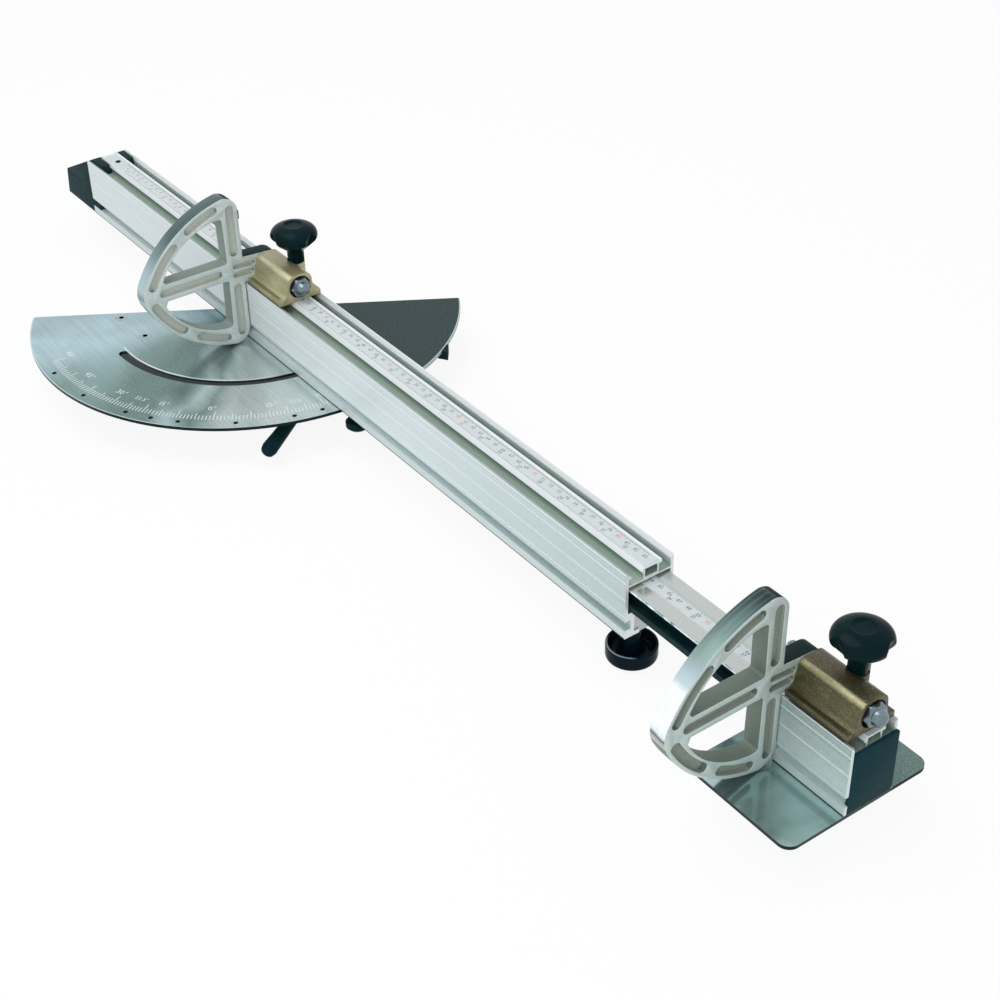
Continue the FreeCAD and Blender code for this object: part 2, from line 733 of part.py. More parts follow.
def swivel_lever():
    # Built along +X from the stud, then turned to its rest direction
    hub = cone_z(lever_hub_radius - 2.0, lever_hub_radius, lever_top_z - lever_hub_height, lever_top_z)
    r = lever_grip_radius
    arm = turned([(0.0, 0.0), (lever_arm_radius, 0.0), (lever_arm_radius + 0.6, lever_grip_start),
                  (r - 1.6, lever_grip_start), (r, lever_reach - 6.0), (r - 0.9, lever_reach - 2.0),
                  (r - 3.0, lever_reach), (0.0, lever_reach)])
    arm.rotate(vec(0, 0, 0), vec(0, 1, 0), 90.0 + lever_droop_deg)
    arm.translate(vec(0, 0, lever_top_z - lever_arm_drop))
    lever = hub.fuse(arm).removeSplitter()
    lever = lever.cut(rod_z(clamp_stud_radius + thread_clearance, lever_top_z - lever_thread_depth, 1.0))
    lever.rotate(vec(0, 0, 0), vec(0, 0, 1), lever_angle_deg)
    lever.translate(vec(slot_radius, 0, 0))
    return lever


# Index latch under the beam just past the plate

def index_bracket():
    x0 = index_unit_x
    x1 = index_unit_x + index_bracket_length
    block = channel_block(x0, x1, beam_base + index_bracket_height)
    foot = box(x0 + 4.0, x1 - 2.0, -mouth_half_width + seat_gap, mouth_half_width - seat_gap,
               beam_base - index_foot_drop, beam_base + 1.0)
    bracket = block.fuse(foot).removeSplitter()
    bore = rod_z(index_guide_radius + running_clearance, beam_base - 5.0, beam_base + 12.0, index_guide_x, 0.0)
    return bracket.cut(bore)


def index_latch():
    half = index_arm_width / 2.0
    bottom = index_arm_top - index_arm_thickness
    arm = box(index_radius - index_arm_inset, index_unit_x + index_arm_reach, -half, half,
              bottom, index_arm_top)
    side = box(index_unit_x - 6.0, index_unit_x + 6.0, index_knob_y - 4.0, 0.0, bottom, index_arm_top)
    rod = rod_z(index_guide_radius, index_arm_top - 0.1, beam_base + 11.0, index_guide_x, 0.0)
    pin = rod_z(index_pin_radius, index_arm_top - 0.1, index_arm_top + 0.2, index_radius, 0.0)
    return arm.fuse([side, rod, pin]).removeSplitter()


def index_knob():
    top = index_arm_top - index_arm_thickness - 0.1
    r = index_knob_radius
    return turned([(0.0, top), (4.5, top), (4.5, top - 2.0), (r - 1.5, top - 2.5), (r, top - 4.0),
                   (r, top - 8.0), (r - 2.5, top - 10.5), (0.0, top - 11.5)],
                  index_unit_x, index_knob_y)


def rim_stop():
    # Small lug under the plate rim, its outer face running out at a slant
    half = rim_stop_width / 2.0
    body = box(rim_stop_inner, plate_radius + seat_gap, -half, half, -rim_stop_depth, -seat_gap)
    under = box(rim_stop_inner - 1.0, plate_radius - 4.0, -half - 1.0, half + 1.0,
                -rim_stop_depth - 1.0, -rim_stop_flange)
    back = plate_radius + seat_gap
    outline = [vec(back, -half, 0), vec(rim_stop_outer, -half, 0),
               vec(rim_stop_outer - rim_stop_taper, half, 0), vec(back, half, 0), vec(back, -half, 0)]
    nose = Part.Face(Part.makePolygon(outline)).extrude(vec(0, 0, rim_stop_depth + plate_thickness - 0.5))
    nose.translate(vec(0, 0, -rim_stop_depth))
    body = body.cut(under).fuse(nose).removeSplitter()
    body.rotate(vec(0, 0, 0), vec(0, 0, 1), rim_stop_deg)
    return body


# Flip stop flap, drawn flat in (Y, Z)

def flap_outline():
    c = flap_centre_z
    top = c + flap_half_height
    low = c - flap_half_height
    tip_y = flap_tip_y + flap_tip_depth
    half = flap_tip_half_height
    bulge_y, bulge_rise = flap_bulge
    round_y, round_z = flap_corner_round
    edges = [
        Part.LineSegment(vec(spine_back_y, low + flap_corner, 0), vec(spine_back_y, top - flap_corner, 0)),
        Part.Arc(vec(spine_back_y, top - flap_corner, 0),
                 vec(spine_back_y - round_y, top - round_z, 0), vec(flap_shoulder_y, top, 0)),
        Part.Arc(vec(flap_shoulder_y, top, 0), vec(bulge_y, c + bulge_rise, 0), vec(tip_y, c + half, 0)),
        Part.Arc(vec(tip_y, c + half, 0), vec(flap_tip_y, c, 0), vec(tip_y, c - half, 0)),
        Part.Arc(vec(tip_y, c - half, 0), vec(bulge_y, c - bulge_rise, 0), vec(flap_shoulder_y, low, 0)),
        Part.Arc(vec(flap_shoulder_y, low, 0), vec(spine_back_y - round_y, low + round_z, 0),
                 vec(spine_back_y, low + flap_corner, 0))]
    return Part.Wire([e.toShape() for e in edges]), edges[2].toShape().Curve


def flap_window(sign):
    # Through window above (+1) or below (-1) the spoke
    spoke_z = spoke_top_z if sign > 0 else spoke_bottom_z
    far, middle, near, corner = [vec(y, flap_centre_z + sign * rise, 0)
                                 for y, rise in (window_far, window_middle, window_near, window_corner)]
    spine_foot = vec(spine_front_y, spoke_z, 0)
    spoke_end = vec(window_spoke_end_y, spoke_z, 0)
    edges = [
        Part.Arc(far, middle, near).toShape(),
        Part.LineSegment(near, corner).toShape(),
        Part.LineSegment(corner, spine_foot).toShape(),
        Part.LineSegment(spine_foot, spoke_end).toShape(),
        Part.LineSegment(spoke_end, far).toShape()]
    block = Part.Face(Part.Wire(edges)).extrude(vec(0, 0, flap_thickness + 2.0))
    block.translate(vec(0, 0, -1.0))
    return fillet_vertical(block, window_round, lambda p: p.x > window_near[0] + window_round)


def flap_pockets(z0, z1, arc):
    half = pocket_width / 2.0
    spine_y = (spine_back_y + spine_front_y) / 2.0
    cut = []
    for first, last in (pocket_spine_top, pocket_spine_low):
        cut.append(straight_slot((spine_y, first), (spine_y, last), half, z0, z1))
    spoke_z = (spoke_top_z + spoke_bottom_z) / 2.0
    cut.append(straight_slot((pocket_spoke[0], spoke_z), (pocket_spoke[1], spoke_z), half, z0, z1))
    centre = arc.Center
    lane = arc.Radius - pocket_lane_inset
    mirrored = 2.0 * flap_centre_z - centre.y
    for first, last in pocket_rim_degs:
        cut.append(ring_slot(lane, half, first, last, z0, z1, centre.x, centre.y))
        cut.append(ring_slot(lane, half, -last, -first, z0, z1, centre.x, mirrored))
    for start, end, radius in (pocket_arm_top, pocket_arm_low):
        cut.append(straight_slot(start, end, radius, z0, z1))
    return cut


def flap_arm():
    points = [vec(y, z, 0) for y, z in arm_outline + arm_outline[:1]]
    arm = Part.Face(Part.makePolygon(points)).extrude(vec(0, 0, flap_thickness))
    return arm.fuse(rod_z(hub_radius, 0.0, flap_thickness, pin_y, pin_z))


def flap_flat():
    wire, arc = flap_outline()
    body = Part.Face(wire).extrude(vec(0, 0, flap_thickness))
    body = body.cut([flap_window(1.0), flap_window(-1.0)])
    body = body.fuse(flap_arm()).removeSplitter()
    front = flap_pockets(flap_thickness - pocket_depth, flap_thickness + 1.0, arc)
    back = flap_pockets(-1.0, pocket_depth, arc)
    body = body.cut(front).cut(back)
    body = body.cut(rod_z(pin_diameter / 2.0 + running_clearance, -1.0, flap_thickness + 1.0, pin_y, pin_z))
    for height in bumper_heights:
        middle = flap_thickness / 2.0
        body = body.cut(box(spine_back_y - bumper_depth, spine_back_y + 1.0,
                            height - bumper_length / 2.0, height + bumper_length / 2.0,
                            middle - bumper_width / 2.0, middle + bumper_width / 2.0))
    return body


def flap(start_x):
    placed = to_fence_section(flap_flat())
    placed.translate(vec(start_x - flap_gap - flap_thickness, 0, 0))
    return placed


def flap_bumpers(start_x):
    middle = start_x - flap_gap - flap_thickness / 2.0
    g = 0.05
    pads = []
    for height, proud in zip(bumper_heights, bumper_proud):
        pads.append(box(middle - bumper_width / 2.0 + g, middle + bumper_width / 2.0 - g,
                        spine_back_y - bumper_depth + g, spine_back_y + proud,
                        height - bumper_length / 2.0 + g, height + bumper_length / 2.0 - g))
    return pads


# Brass carrier on the beam

def carrier_section(base):
    # Outline of the carrier in (Y, Z), a low foot with a rounded ridge round the pin
    foot = base + carrier_foot_height
    crest = pin_z + hub_radius
    back = carrier_crest_back_y
    front = carrier_crest_front_y
    p = [vec(y, z, 0) for y, z in [
        (carrier_foot_back_y, base), (carrier_foot_back_y, foot), (back - 10.9, foot + 0.4),
        (back - 8.6, foot + 2.6), (back - 6.0, crest - 6.3), (back - 4.0, crest - 2.1), (back, crest),
        (front, crest), (front + 4.2, crest - 2.1), (front + 6.2, crest - 6.3), (front + 7.4, foot + 2.6),
        (front + 8.8, foot + 0.4), (carrier_foot_front_y, foot), (carrier_foot_front_y, base)]]
    edges = [Part.LineSegment(p[i], p[i + 1]) for i in (0, 1, 2, 3, 6, 9, 10, 11, 12)]
    edges.append(Part.LineSegment(p[13], p[0]))
    edges.insert(4, Part.Arc(p[4], p[5], p[6]))
    edges.insert(6, Part.Arc(p[7], p[8], p[9]))
    return Part.Face(Part.Wire([edge.toShape() for edge in edges]))


def carrier_key(x0, x1, top):
    # Runs in the near slot and follows its sloped lips with a sliding gap
    low = beam_top - carrier_key_drop
    gap = slide_gap * 2.0
    sunk = carrier_key_drop / bevel_drop
    near_y = lip_y - near_bevel_run * (1.0 - sunk) + gap * 2.0
    rib_y = rib_left_y + rib_bevel_run * (1.0 - sunk) - gap
    points = [vec(x0, near_y, low), vec(x0, rib_y, low), vec(x0, rib_left_y + rib_bevel_run - gap, beam_top),
              vec(x0, rib_left_y + rib_bevel_run - gap, top), vec(x0, near_y - near_bevel_run * 0.3, top),
              vec(x0, near_y - near_bevel_run * 0.3, beam_top - bevel_drop * 0.3)]
    face = Part.Face(Part.makePolygon(points + [points[0]]))
    return face.extrude(vec(x1 - x0, 0, 0))


def carrier(start_x):
    base = beam_top + carrier_clearance
    body = to_fence_section(carrier_section(base).extrude(vec(0, 0, carrier_length)))
    body.translate(vec(start_x, 0, 0))
    middle = start_x + carrier_length / 2.0
    end = start_x + carrier_length
    body = body.fuse(rod_z(boss_radius, base, boss_top_z, middle, stud_y))
    body = body.fuse(carrier_key(start_x + 3.0, end - 3.0, base + 0.5)).removeSplitter()
    groove_y = carrier_foot_back_y + foot_groove_inset
    foot = base + carrier_foot_height
    body = body.cut(box(start_x - 1.0, end - foot_groove_stop, groove_y, groove_y + foot_groove_width,
                        foot - foot_groove_depth, foot + 2.0))
    body = body.cut(rod_x(pin_diameter / 2.0 + running_clearance, start_x - 1.0, end + 1.0, pin_y, pin_z))
    body = body.cut(rod_x(recess_diameter / 2.0, end - recess_depth, end + 1.0, pin_y, pin_z))
    body = body.cut(rod_z(spot_face_radius, boss_top_z, boss_top_z + 10.0, middle, stud_y))
    stud_hole = rod_z(stud_diameter / 2.0 + slide_gap, beam_top - 5.0, boss_top_z + 1.0, middle, stud_y)
    return body.cut(stud_hole)


def stop_pin(start_x):
    head_start = start_x - flap_gap * 2.0 - flap_thickness - pin_head_height
    tail = start_x + carrier_length - recess_depth + 12.0
    shank = rod_x(pin_diameter / 2.0, head_start + pin_head_height, tail, pin_y, pin_z)
    head = rod_x(pin_head_radius, head_start, head_start + pin_head_height, pin_y, pin_z)
    socket = hex_x(8.0, head_start - 1.0, head_start + 3.5, pin_y, pin_z)
    return shank.fuse(head).removeSplitter().cut(socket)


def stop_washer(start_x):
    x0 = start_x + carrier_length - recess_depth + seat_gap
    ring = rod_x(10.0, x0, x0 + washer_thickness, pin_y, pin_z)
    return ring.cut(rod_x(pin_diameter / 2.0 + slide_gap, x0 - 1.0, x0 + 5.0, pin_y, pin_z))


def stop_nut(start_x):
    x0 = start_x + carrier_length - recess_depth + seat_gap * 2.0 + washer_thickness
    flats = nut_length * 0.55
    body = hex_x(nut_across_flats, x0, x0 + flats, pin_y, pin_z)
    chamfer = Part.makeCone(nut_across_flats / 2.0 + 4.0, nut_across_flats / 2.0 - 0.6, nut_length * 0.55 + 1.0,
                            vec(x0 - 0.6, pin_y, pin_z), vec(1, 0, 0))
    body = body.common(chamfer)
    dome = Part.makeSphere(nut_across_flats / 2.0 - 0.7, vec(x0 + flats - 0.4, pin_y, pin_z))
    dome = dome.common(box(x0 + flats - 0.5, x0 + nut_length + 1.0, pin_y - 20.0, pin_y + 20.0,
                           pin_z - 20.0, pin_z + 20.0))
    nut = body.fuse(dome).removeSplitter()
    return nut.cut(rod_x(pin_diameter / 2.0 + thread_clearance, x0 - 1.0, x0 + nut_length - 5.0, pin_y, pin_z))


# Clamping knob of each stop

def t_nut(start_x):
    middle = start_x + carrier_length / 2.0
    z1 = beam_top - lip_thickness - seat_gap
    wall_y = half_beam - wall_thickness
    nut = box(middle - t_nut_length / 2.0, middle + t_nut_length / 2.0,
              rib_box_right_y + 2.0 * seat_gap, wall_y - seat_gap, z1 - t_nut_height, z1)
    return nut.cut(rod_z(stud_diameter / 2.0 + thread_clearance, z1 - 9.0, z1 + 1.0, middle, stud_y))


def knob_stud(start_x):
    middle = start_x + carrier_length / 2.0
    z0 = beam_top - lip_thickness - t_nut_height
    return rod_z(stud_diameter / 2.0, z0, knob_bottom_z + 10.0, middle, stud_y)


def knob_crown():
    # Mushroom shape about the Z axis: cone below, round brow, shallow dish on top
    b = knob_bottom_z
    top = knob_top_z
    shoulder = vec(knob_shoulder_radius, 0, b + knob_shoulder_rise)
    brow = vec(knob_brow_radius, 0, b + knob_brow_rise)
    lip = vec(knob_dish_radius, 0, top)
    over = vec((knob_brow_radius + knob_dish_radius) / 2.0, 0, top - 0.9)
    floor = top - knob_dish_depth
    lines = [vec(0, 0, b), vec(knob_stem_radius, 0, b), shoulder]
    edges = [Part.LineSegment(lines[0], lines[1]), Part.LineSegment(lines[1], lines[2]),
             Part.Arc(shoulder, vec(knob_radius, 0, b + knob_widest_rise), brow),
             Part.Arc(brow, over, lip),
             Part.LineSegment(lip, vec(knob_dish_radius - 1.0, 0, floor)),
             Part.LineSegment(vec(knob_dish_radius - 1.0, 0, floor), vec(0, 0, floor)),
             Part.LineSegment(vec(0, 0, floor), lines[0])]
    face = Part.Face(Part.Wire([edge.toShape() for edge in edges]))
    return face.revolve(vec(0, 0, 0), vec(0, 0, 1), 360)


def clamp_knob(start_x):
    body = knob_crown()
    for i in range(knob_scoops):
        # Finger scoop: a cylinder leaning outwards, so that it leaves the crown in an arch
        scoop = rod_z(scoop_radius, -20.0, 60.0)
        scoop.rotate(vec(0, 0, 0), vec(0, 1, 0), scoop_lean_deg)
        scoop.translate(vec(scoop_foot, 0, knob_bottom_z))
        scoop.rotate(vec(0, 0, 0), vec(0, 0, 1), 360.0 * i / knob_scoops + knob_turn_deg)
        body = body.cut(scoop)
    stem = rod_z(knob_stem_radius, boss_top_z + seat_gap + 0.1, knob_bottom_z + 4.0)
    body = body.fuse(stem).removeSplitter()
    body = body.cut(rod_z(stud_diameter / 2.0 + thread_clearance, boss_top_z - 1.0, knob_bottom_z + 10.2))
    body.translate(vec(start_x + carrier_length / 2.0, stud_y, 0))
    return body


def save(shape, name):
    if isinstance(shape, list):
        shape = Part.makeCompound(shape)
    if len(shape.Solids) == 1:
        shape = shape.Solids[0]
    shape.exportStep("parts/" + name + ".step")


os.makedirs("parts", exist_ok=True)

save(degree_plate(), "degree_plate")
save([table_screw(*plate_point(a, o)) for a, o in table_screw_places], "table_screws")
save(rim_stop(), "rim_stop")
save(pivot_pin(), "pivot_pin")
save(pivot_nut(), "pivot_nut")
save(pivot_block(), "pivot_block")
save(beam_profile(), "beam_profile")
save(beam_tape(), "beam_tape")
save(tape_screw(), "tape_screw")
save(beam_end_cap(), "beam_end_cap")
save(extension_guide(), "extension_guide")
save(clamp_block(), "clamp_block")
save(swivel_stud(), "swivel_stud")
save(swivel_washer(), "swivel_washer")
save(swivel_lever(), "swivel_lever")
save(index_bracket(), "index_bracket")
save(index_latch(), "index_latch")
save(index_knob(), "index_knob")
save(clamp_screw(), "clamp_screw")
save(clamp_pad(), "clamp_pad")
save(handwheel(), "handwheel")
save(extension_bar(), "extension_bar")
save(extension_tape(), "extension_tape")
save(end_block(), "end_block")
save(end_block_cap(), "end_block_cap")
save(block_screws(), "block_screws")
save(support_plate(), "support_plate")
save(support_screws(), "support_screws")

for label, start in (("beam", stop_starts_x[0]), ("end", stop_starts_x[1])):
    save(flap(start), label + "_stop_flap")
    save(flap_bumpers(start), label + "_stop_bumpers")
    save(carrier(start), label + "_stop_carrier")
    save(stop_pin(start), label + "_stop_pin")
    save(stop_washer(start), label + "_stop_washer")
    save(stop_nut(start), label + "_stop_nut")
    save(t_nut(start), label + "_stop_t_nut")
    save(knob_stud(start), label + "_stop_stud")
    save(clamp_knob(start), label + "_stop_knob")
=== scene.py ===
# %% [markdown]
# # A miter stop for a sliding table saw
# The real tool is a fence beam that swings on a half-round degree plate. A bar slides out of its
# near end, and two cast arms flip down on the board to set its length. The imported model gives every
# metal body in its true place, in metres, with the pivot at the origin, +X along the beam and +Z up.
# We only dress it: finishes, engraved scales, printed numbers, soft cast edges and the studio.

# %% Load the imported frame
import math
import bmesh
import bpy
from mathutils import Matrix, Vector
from mathutils.bvhtree import BVHTree


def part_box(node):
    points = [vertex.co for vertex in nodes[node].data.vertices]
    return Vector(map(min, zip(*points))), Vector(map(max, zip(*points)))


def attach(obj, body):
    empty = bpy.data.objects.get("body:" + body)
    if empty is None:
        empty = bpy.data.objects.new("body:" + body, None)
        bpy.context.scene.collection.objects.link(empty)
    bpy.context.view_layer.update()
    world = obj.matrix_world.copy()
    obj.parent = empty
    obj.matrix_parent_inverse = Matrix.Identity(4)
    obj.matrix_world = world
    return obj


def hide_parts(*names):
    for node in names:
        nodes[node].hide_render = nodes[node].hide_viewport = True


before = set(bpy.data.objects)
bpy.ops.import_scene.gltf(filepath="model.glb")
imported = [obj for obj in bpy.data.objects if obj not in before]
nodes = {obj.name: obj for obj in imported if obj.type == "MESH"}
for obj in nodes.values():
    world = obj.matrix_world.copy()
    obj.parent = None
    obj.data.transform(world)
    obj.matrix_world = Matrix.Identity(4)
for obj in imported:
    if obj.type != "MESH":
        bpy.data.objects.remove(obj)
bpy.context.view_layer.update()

mm = 0.001


# %% [markdown]
# ## How the finishes are made
# A finish is a Principled shader whose fixed numbers are typed straight on its sockets. What varies
# over a surface, such as grain or brushing, comes from noise on Object coordinates, so it stays on
# the metal when a piece moves. A stretched noise gives brushed lines: squeeze the coordinates along
# one axis and the speckle turns into streaks. Where one body shows two finishes, such as the inside
# and the outside of a slot, a mask made from the coordinates picks between them.

# %% Colours
def linear(colour):
    """Three numbers, 0 to 255, are a listed colour. Four are the linear ones of a shader."""
    def one(v):
        v /= 255.0
        return v / 12.92 if v <= 0.04045 else ((v + 0.055) / 1.055) ** 2.4
    return colour if len(colour) == 4 else tuple(one(v) for v in colour) + (1.0,)


def shade(colour, factor):
    """A linear colour made lighter or darker."""
    return tuple(min(1.0, c * factor) for c in colour[:3]) + (1.0,)


# %% Nodes fed in one line
def feed(tree, node, *values):
    """Gives a node its inputs, as numbers or other nodes' outputs, and returns its first output."""
    for socket, value in zip(node.inputs, values):
        if isinstance(value, (int, float, tuple)):
            socket.default_value = value
        else:
            tree.links.new(value, socket)
    return node.outputs[0]


def calculate(tree, operation, *values):
    node = tree.nodes.new("ShaderNodeMath")
    node.operation = operation
    return feed(tree, node, *values)


# %% Objects put in the scene
def placed(name, data):
    """A new object that stands in the scene."""
    piece = bpy.data.objects.new(name, data)
    bpy.context.collection.objects.link(piece)
    return piece


def frozen(piece):
    """The mesh that an object has after its modifiers."""
    return bpy.data.meshes.new_from_object(piece.evaluated_get(bpy.context.evaluated_depsgraph_get()))


# %% A finish and the nodes that feed it
class Finish:
    """One material being built: a Principled shader and the nodes that feed it."""

    def __init__(self, name, colour, metallic=0.0, roughness=0.5, specular=0.5):
        self.mat = bpy.data.materials.new(name)
        self.mat.use_nodes = True
        self.tree = self.mat.node_tree
        self.shader = self.tree.nodes["Principled BSDF"]
        self.colour = linear(colour)
        self.tone = self.colour
        self.set("Base Color", self.colour)
        self.set("Metallic", metallic)
        self.set("Roughness", roughness)
        self.set("Specular IOR Level", specular)
        self.mat.diffuse_color = self.colour
        self.place = self.add("ShaderNodeTexCoord").outputs["Object"]

    def set(self, socket, value):
        self.shader.inputs[socket].default_value = value

    def add(self, kind, **inputs):
        node = self.tree.nodes.new(kind)
        for key, value in inputs.items():
            if key in node.inputs:
                node.inputs[key].default_value = value
            else:
                setattr(node, key, value)
        return node

    def link(self, a, b):
        self.tree.links.new(a, b)

    def grain(self, scale, detail=4.0, roughness=0.55, stretch=(1.0, 1.0, 1.0), turn=0.0):
        """Speckle on Object coordinates. stretch squeezes it along each axis."""
        mapping = self.add("ShaderNodeMapping", Scale=stretch, Rotation=(0.0, 0.0, turn))
        texture = self.add("ShaderNodeTexNoise", Scale=scale, Detail=detail, Roughness=roughness)
        self.link(self.place, mapping.inputs["Vector"])
        self.link(mapping.outputs["Vector"], texture.inputs["Vector"])
        return texture.outputs["Fac"]

    def ramp(self, value, stops):
        """Turns a 0 to 1 value into colours, given as (place, colour)."""
        node = self.add("ShaderNodeValToRGB")
        bands = node.color_ramp.elements
        while len(bands) < len(stops):
            bands.new(0.5)
        for band, (place, colour) in zip(bands, stops):
            band.position = place
            band.color = linear(colour)
        self.link(value, node.inputs["Fac"])
        return node.outputs["Color"]

    def banded(self, value, stops):
        """Colours along a length, each given at a place in mm."""
        low, high = stops[0][0], stops[-1][0]
        return self.ramp(self.above(value, low, high), [((at - low) / (high - low), c) for at, c in stops])

    def span(self, value, low, high, out_low=0.0, out_high=1.0):
        """Carries a value from one range to another and holds it there."""
        return feed(self.tree, self.add("ShaderNodeMapRange"), value, low, high, out_low, out_high)

    def above(self, value, low, high):
        """0 up to the first limit and 1 from the second, both in mm."""
        return self.span(value, low * mm, high * mm)

    def below(self, value, low, high):
        """1 up to the first limit and 0 from the second, both in mm."""
        return self.span(value, low * mm, high * mm, 1.0, 0.0)

    def math(self, operation, *values):
        return calculate(self.tree, operation, *values)

    def axis(self, letter, of="place"):
        """One coordinate of the surface point, or of its normal."""
        node = self.add("ShaderNodeSeparateXYZ")
        source = self.place if of == "place" else self.add("ShaderNodeTexCoord").outputs["Normal"]
        self.link(source, node.inputs[0])
        return node.outputs[letter]

    def upright(self):
        """1 on the cut edges of a flat sheet, 0 on its top and bottom."""
        return self.span(self.math("ABSOLUTE", self.axis("Z", "normal")), 0.45, 0.55, 1.0, 0.0)

    def from_pivot(self):
        """Distance from the axis that the beam swings about."""
        x, y = self.axis("X"), self.axis("Y")
        squares = self.math("ADD", self.math("MULTIPLY", x, x), self.math("MULTIPLY", y, y))
        return self.math("SQRT", squares)

    def within(self, value, low, high, soft=0.1):
        """1 between two limits in mm, with a soft edge."""
        return self.both(self.above(value, low - soft, low + soft),
                         self.below(value, high - soft, high + soft))

    def both(self, *masks):
        """1 only where every mask is 1."""
        result = masks[0]
        for mask in masks[1:]:
            result = self.math("MULTIPLY", result, mask)
        return result

    def paint(self, mask, colour, strength=1.0):
        """Lays a colour, or a colour socket, over the tone so far, where the mask is 1."""
        if strength < 1.0:
            mask = self.math("MULTIPLY", mask, strength)
        node = self.add("ShaderNodeMix", data_type="RGBA")
        self.link(mask, node.inputs[0])
        for socket, value in ((node.inputs[6], self.tone), (node.inputs[7], colour)):
            if isinstance(value, tuple):
                socket.default_value = linear(value)
            else:
                self.link(value, socket)
        self.tone = node.outputs[2]

    def blend(self, mask, socket, off, on):
        """Gives a socket of the shader one value where the mask is 0 and another where it is 1."""
        self.link(self.span(mask, 0.0, 1.0, off, on), self.shader.inputs[socket])

    def bump(self, height, strength, distance):
        node = self.add("ShaderNodeBump", Strength=strength, Distance=distance)
        self.link(height, node.inputs["Height"])
        previous = self.shader.inputs["Normal"].links
        if previous:
            self.link(previous[0].from_socket, node.inputs["Normal"])
        self.link(node.outputs["Normal"], self.shader.inputs["Normal"])

    def rough(self, value, low, high):
        self.link(self.span(value, 0.3, 0.7, low, high), self.shader.inputs["Roughness"])

    def done(self):
        self.link(self.tone, self.shader.inputs["Base Color"])
        return self.mat


# %% [markdown]
# ## Ground steel of the degree plate
# The plate is rolled sheet, ground until it mirrors softly. It shows fine grinding lines. Its light
# and dark sectors that fan out from the pivot, with darker blotches among them, are painted
# reflections. On the far side of the beam a painted dark reflection makes it nearly black, with a fine
# speckle. The angle round the pivot drives a colour ramp for the sectors, and slow noise bends their
# edges so that they look like metal and not like paint.

# %% Ground plate steel
def plate_finish():
    finish = Finish("ground_plate_steel", (150, 172, 172), metallic=0.75, roughness=0.28)
    y = finish.axis("Y")
    angle = finish.math("ARCTAN2", y, finish.axis("X"))
    bend = finish.span(finish.grain(9.0, detail=2.0), 0.3, 0.7, -0.16, 0.16)
    around = finish.span(finish.math("ADD", angle, bend), math.radians(-150.0), math.radians(0.0))
    # Painted reflections: light and dark sectors round the pivot.
    sectors = [(0.10, (158, 186, 192)), (0.24, (186, 212, 222)), (0.40, (146, 174, 178)),
               (0.54, (102, 130, 124)), (0.62, (108, 136, 132)), (0.69, (210, 230, 233)),
               (0.74, (134, 158, 152)), (0.80, (218, 231, 231)), (0.95, (226, 236, 236))]
    finish.tone = finish.ramp(around, sectors)
    # Painted dark reflection: blotches among the darker sectors.
    cloud = finish.grain(14.0, detail=3.0, stretch=(1.0, 0.7, 1.0))
    thick = finish.span(around, 0.60, 0.72, 0.45, 0.12)
    finish.paint(finish.both(finish.span(cloud, 0.40, 0.70), thick), (104, 126, 118))
    lines = finish.grain(1.0, detail=3.0, stretch=(14.0, 900.0, 1.0), turn=math.radians(57.5))
    finish.paint(finish.span(lines, 0.35, 0.8), (70, 92, 90), 0.35)
    speckle = finish.grain(700.0, detail=2.0)
    finish.paint(finish.span(speckle, 0.5, 0.7), (206, 220, 216), 0.22)
    near, beyond = finish.below(y, -10.0, 10.0), finish.above(y, -10.0, 10.0)
    # Beyond the beam: a painted dark reflection with a fine speckle.
    dark_reflection = [(0.0, (18, 38, 41)), (0.5, (32, 55, 57)), (1.0, (58, 77, 74))]
    finish.paint(beyond, finish.ramp(finish.span(speckle, 0.3, 0.7), dark_reflection))
    side, reach = finish.upright(), finish.from_pivot()
    # A pale line along the rim's top edge, a painted highlight.
    finish.paint(finish.within(reach, 199.4, 200.4), (206, 224, 222), 0.8)
    # Painted shade on the cut edges and slot walls near the camera; a painted pale reflection on those
    # beyond the beam.
    finish.paint(finish.both(side, near), (8, 30, 34))
    finish.paint(finish.both(side, beyond), (170, 190, 186))
    # A painted highlight along the inner top edge of the curved slot.
    past_slot_start = finish.span(angle, math.radians(-96.0), math.radians(-95.0))
    slot_edge_highlight = finish.both(near, past_slot_start, finish.within(reach, 122.2, 123.4),
                            finish.above(finish.axis("Z"), 2.2, 2.4))
    finish.paint(slot_edge_highlight, (222, 234, 232))
    finish.blend(beyond, "Metallic", 0.75, 0.3)
    finish.blend(beyond, "Roughness", 0.28, 0.6)
    finish.bump(lines, 0.10, 0.03 * mm)
    return finish.done()


plate_steel = plate_finish()


# %% [markdown]
# The support plate under the telescope end is the same sheet with a brighter polish. Its far strip
# is rougher and carries a painted dark reflection with a grey speckle, and its cut edges are painted
# black, as shade.

# %% Support plate steel
def support_finish():
    finish = Finish("mirror_support_steel", (178, 206, 206), metallic=0.75, roughness=0.16)
    cloud = finish.grain(22.0, detail=3.0, stretch=(1.0, 0.8, 1.0))
    finish.paint(finish.span(cloud, 0.38, 0.62), (142, 172, 170))
    lines = finish.grain(1.0, detail=3.0, stretch=(900.0, 18.0, 1.0))
    finish.paint(finish.span(lines, 0.4, 0.8), (196, 214, 214), 0.4)
    strip_speckle = finish.grain(1300.0, detail=3.0)
    # The far strip: rougher, and its dark speckled colour is a painted dark reflection.
    blasted = finish.above(finish.axis("Y"), 21.0, 23.0)
    sand = [(0.34, (62, 88, 86)), (0.5, (106, 132, 126)), (0.68, (150, 170, 160))]
    finish.paint(blasted, finish.ramp(strip_speckle, sand))
    # Painted shade: the cut edges are black.
    finish.paint(finish.upright(), (14, 34, 38))
    finish.blend(blasted, "Roughness", 0.16, 0.6)
    finish.bump(lines, 0.06, 0.02 * mm)
    return finish.done()


support_steel = support_finish()
print("plate finishes:", plate_steel.name, support_steel.name)
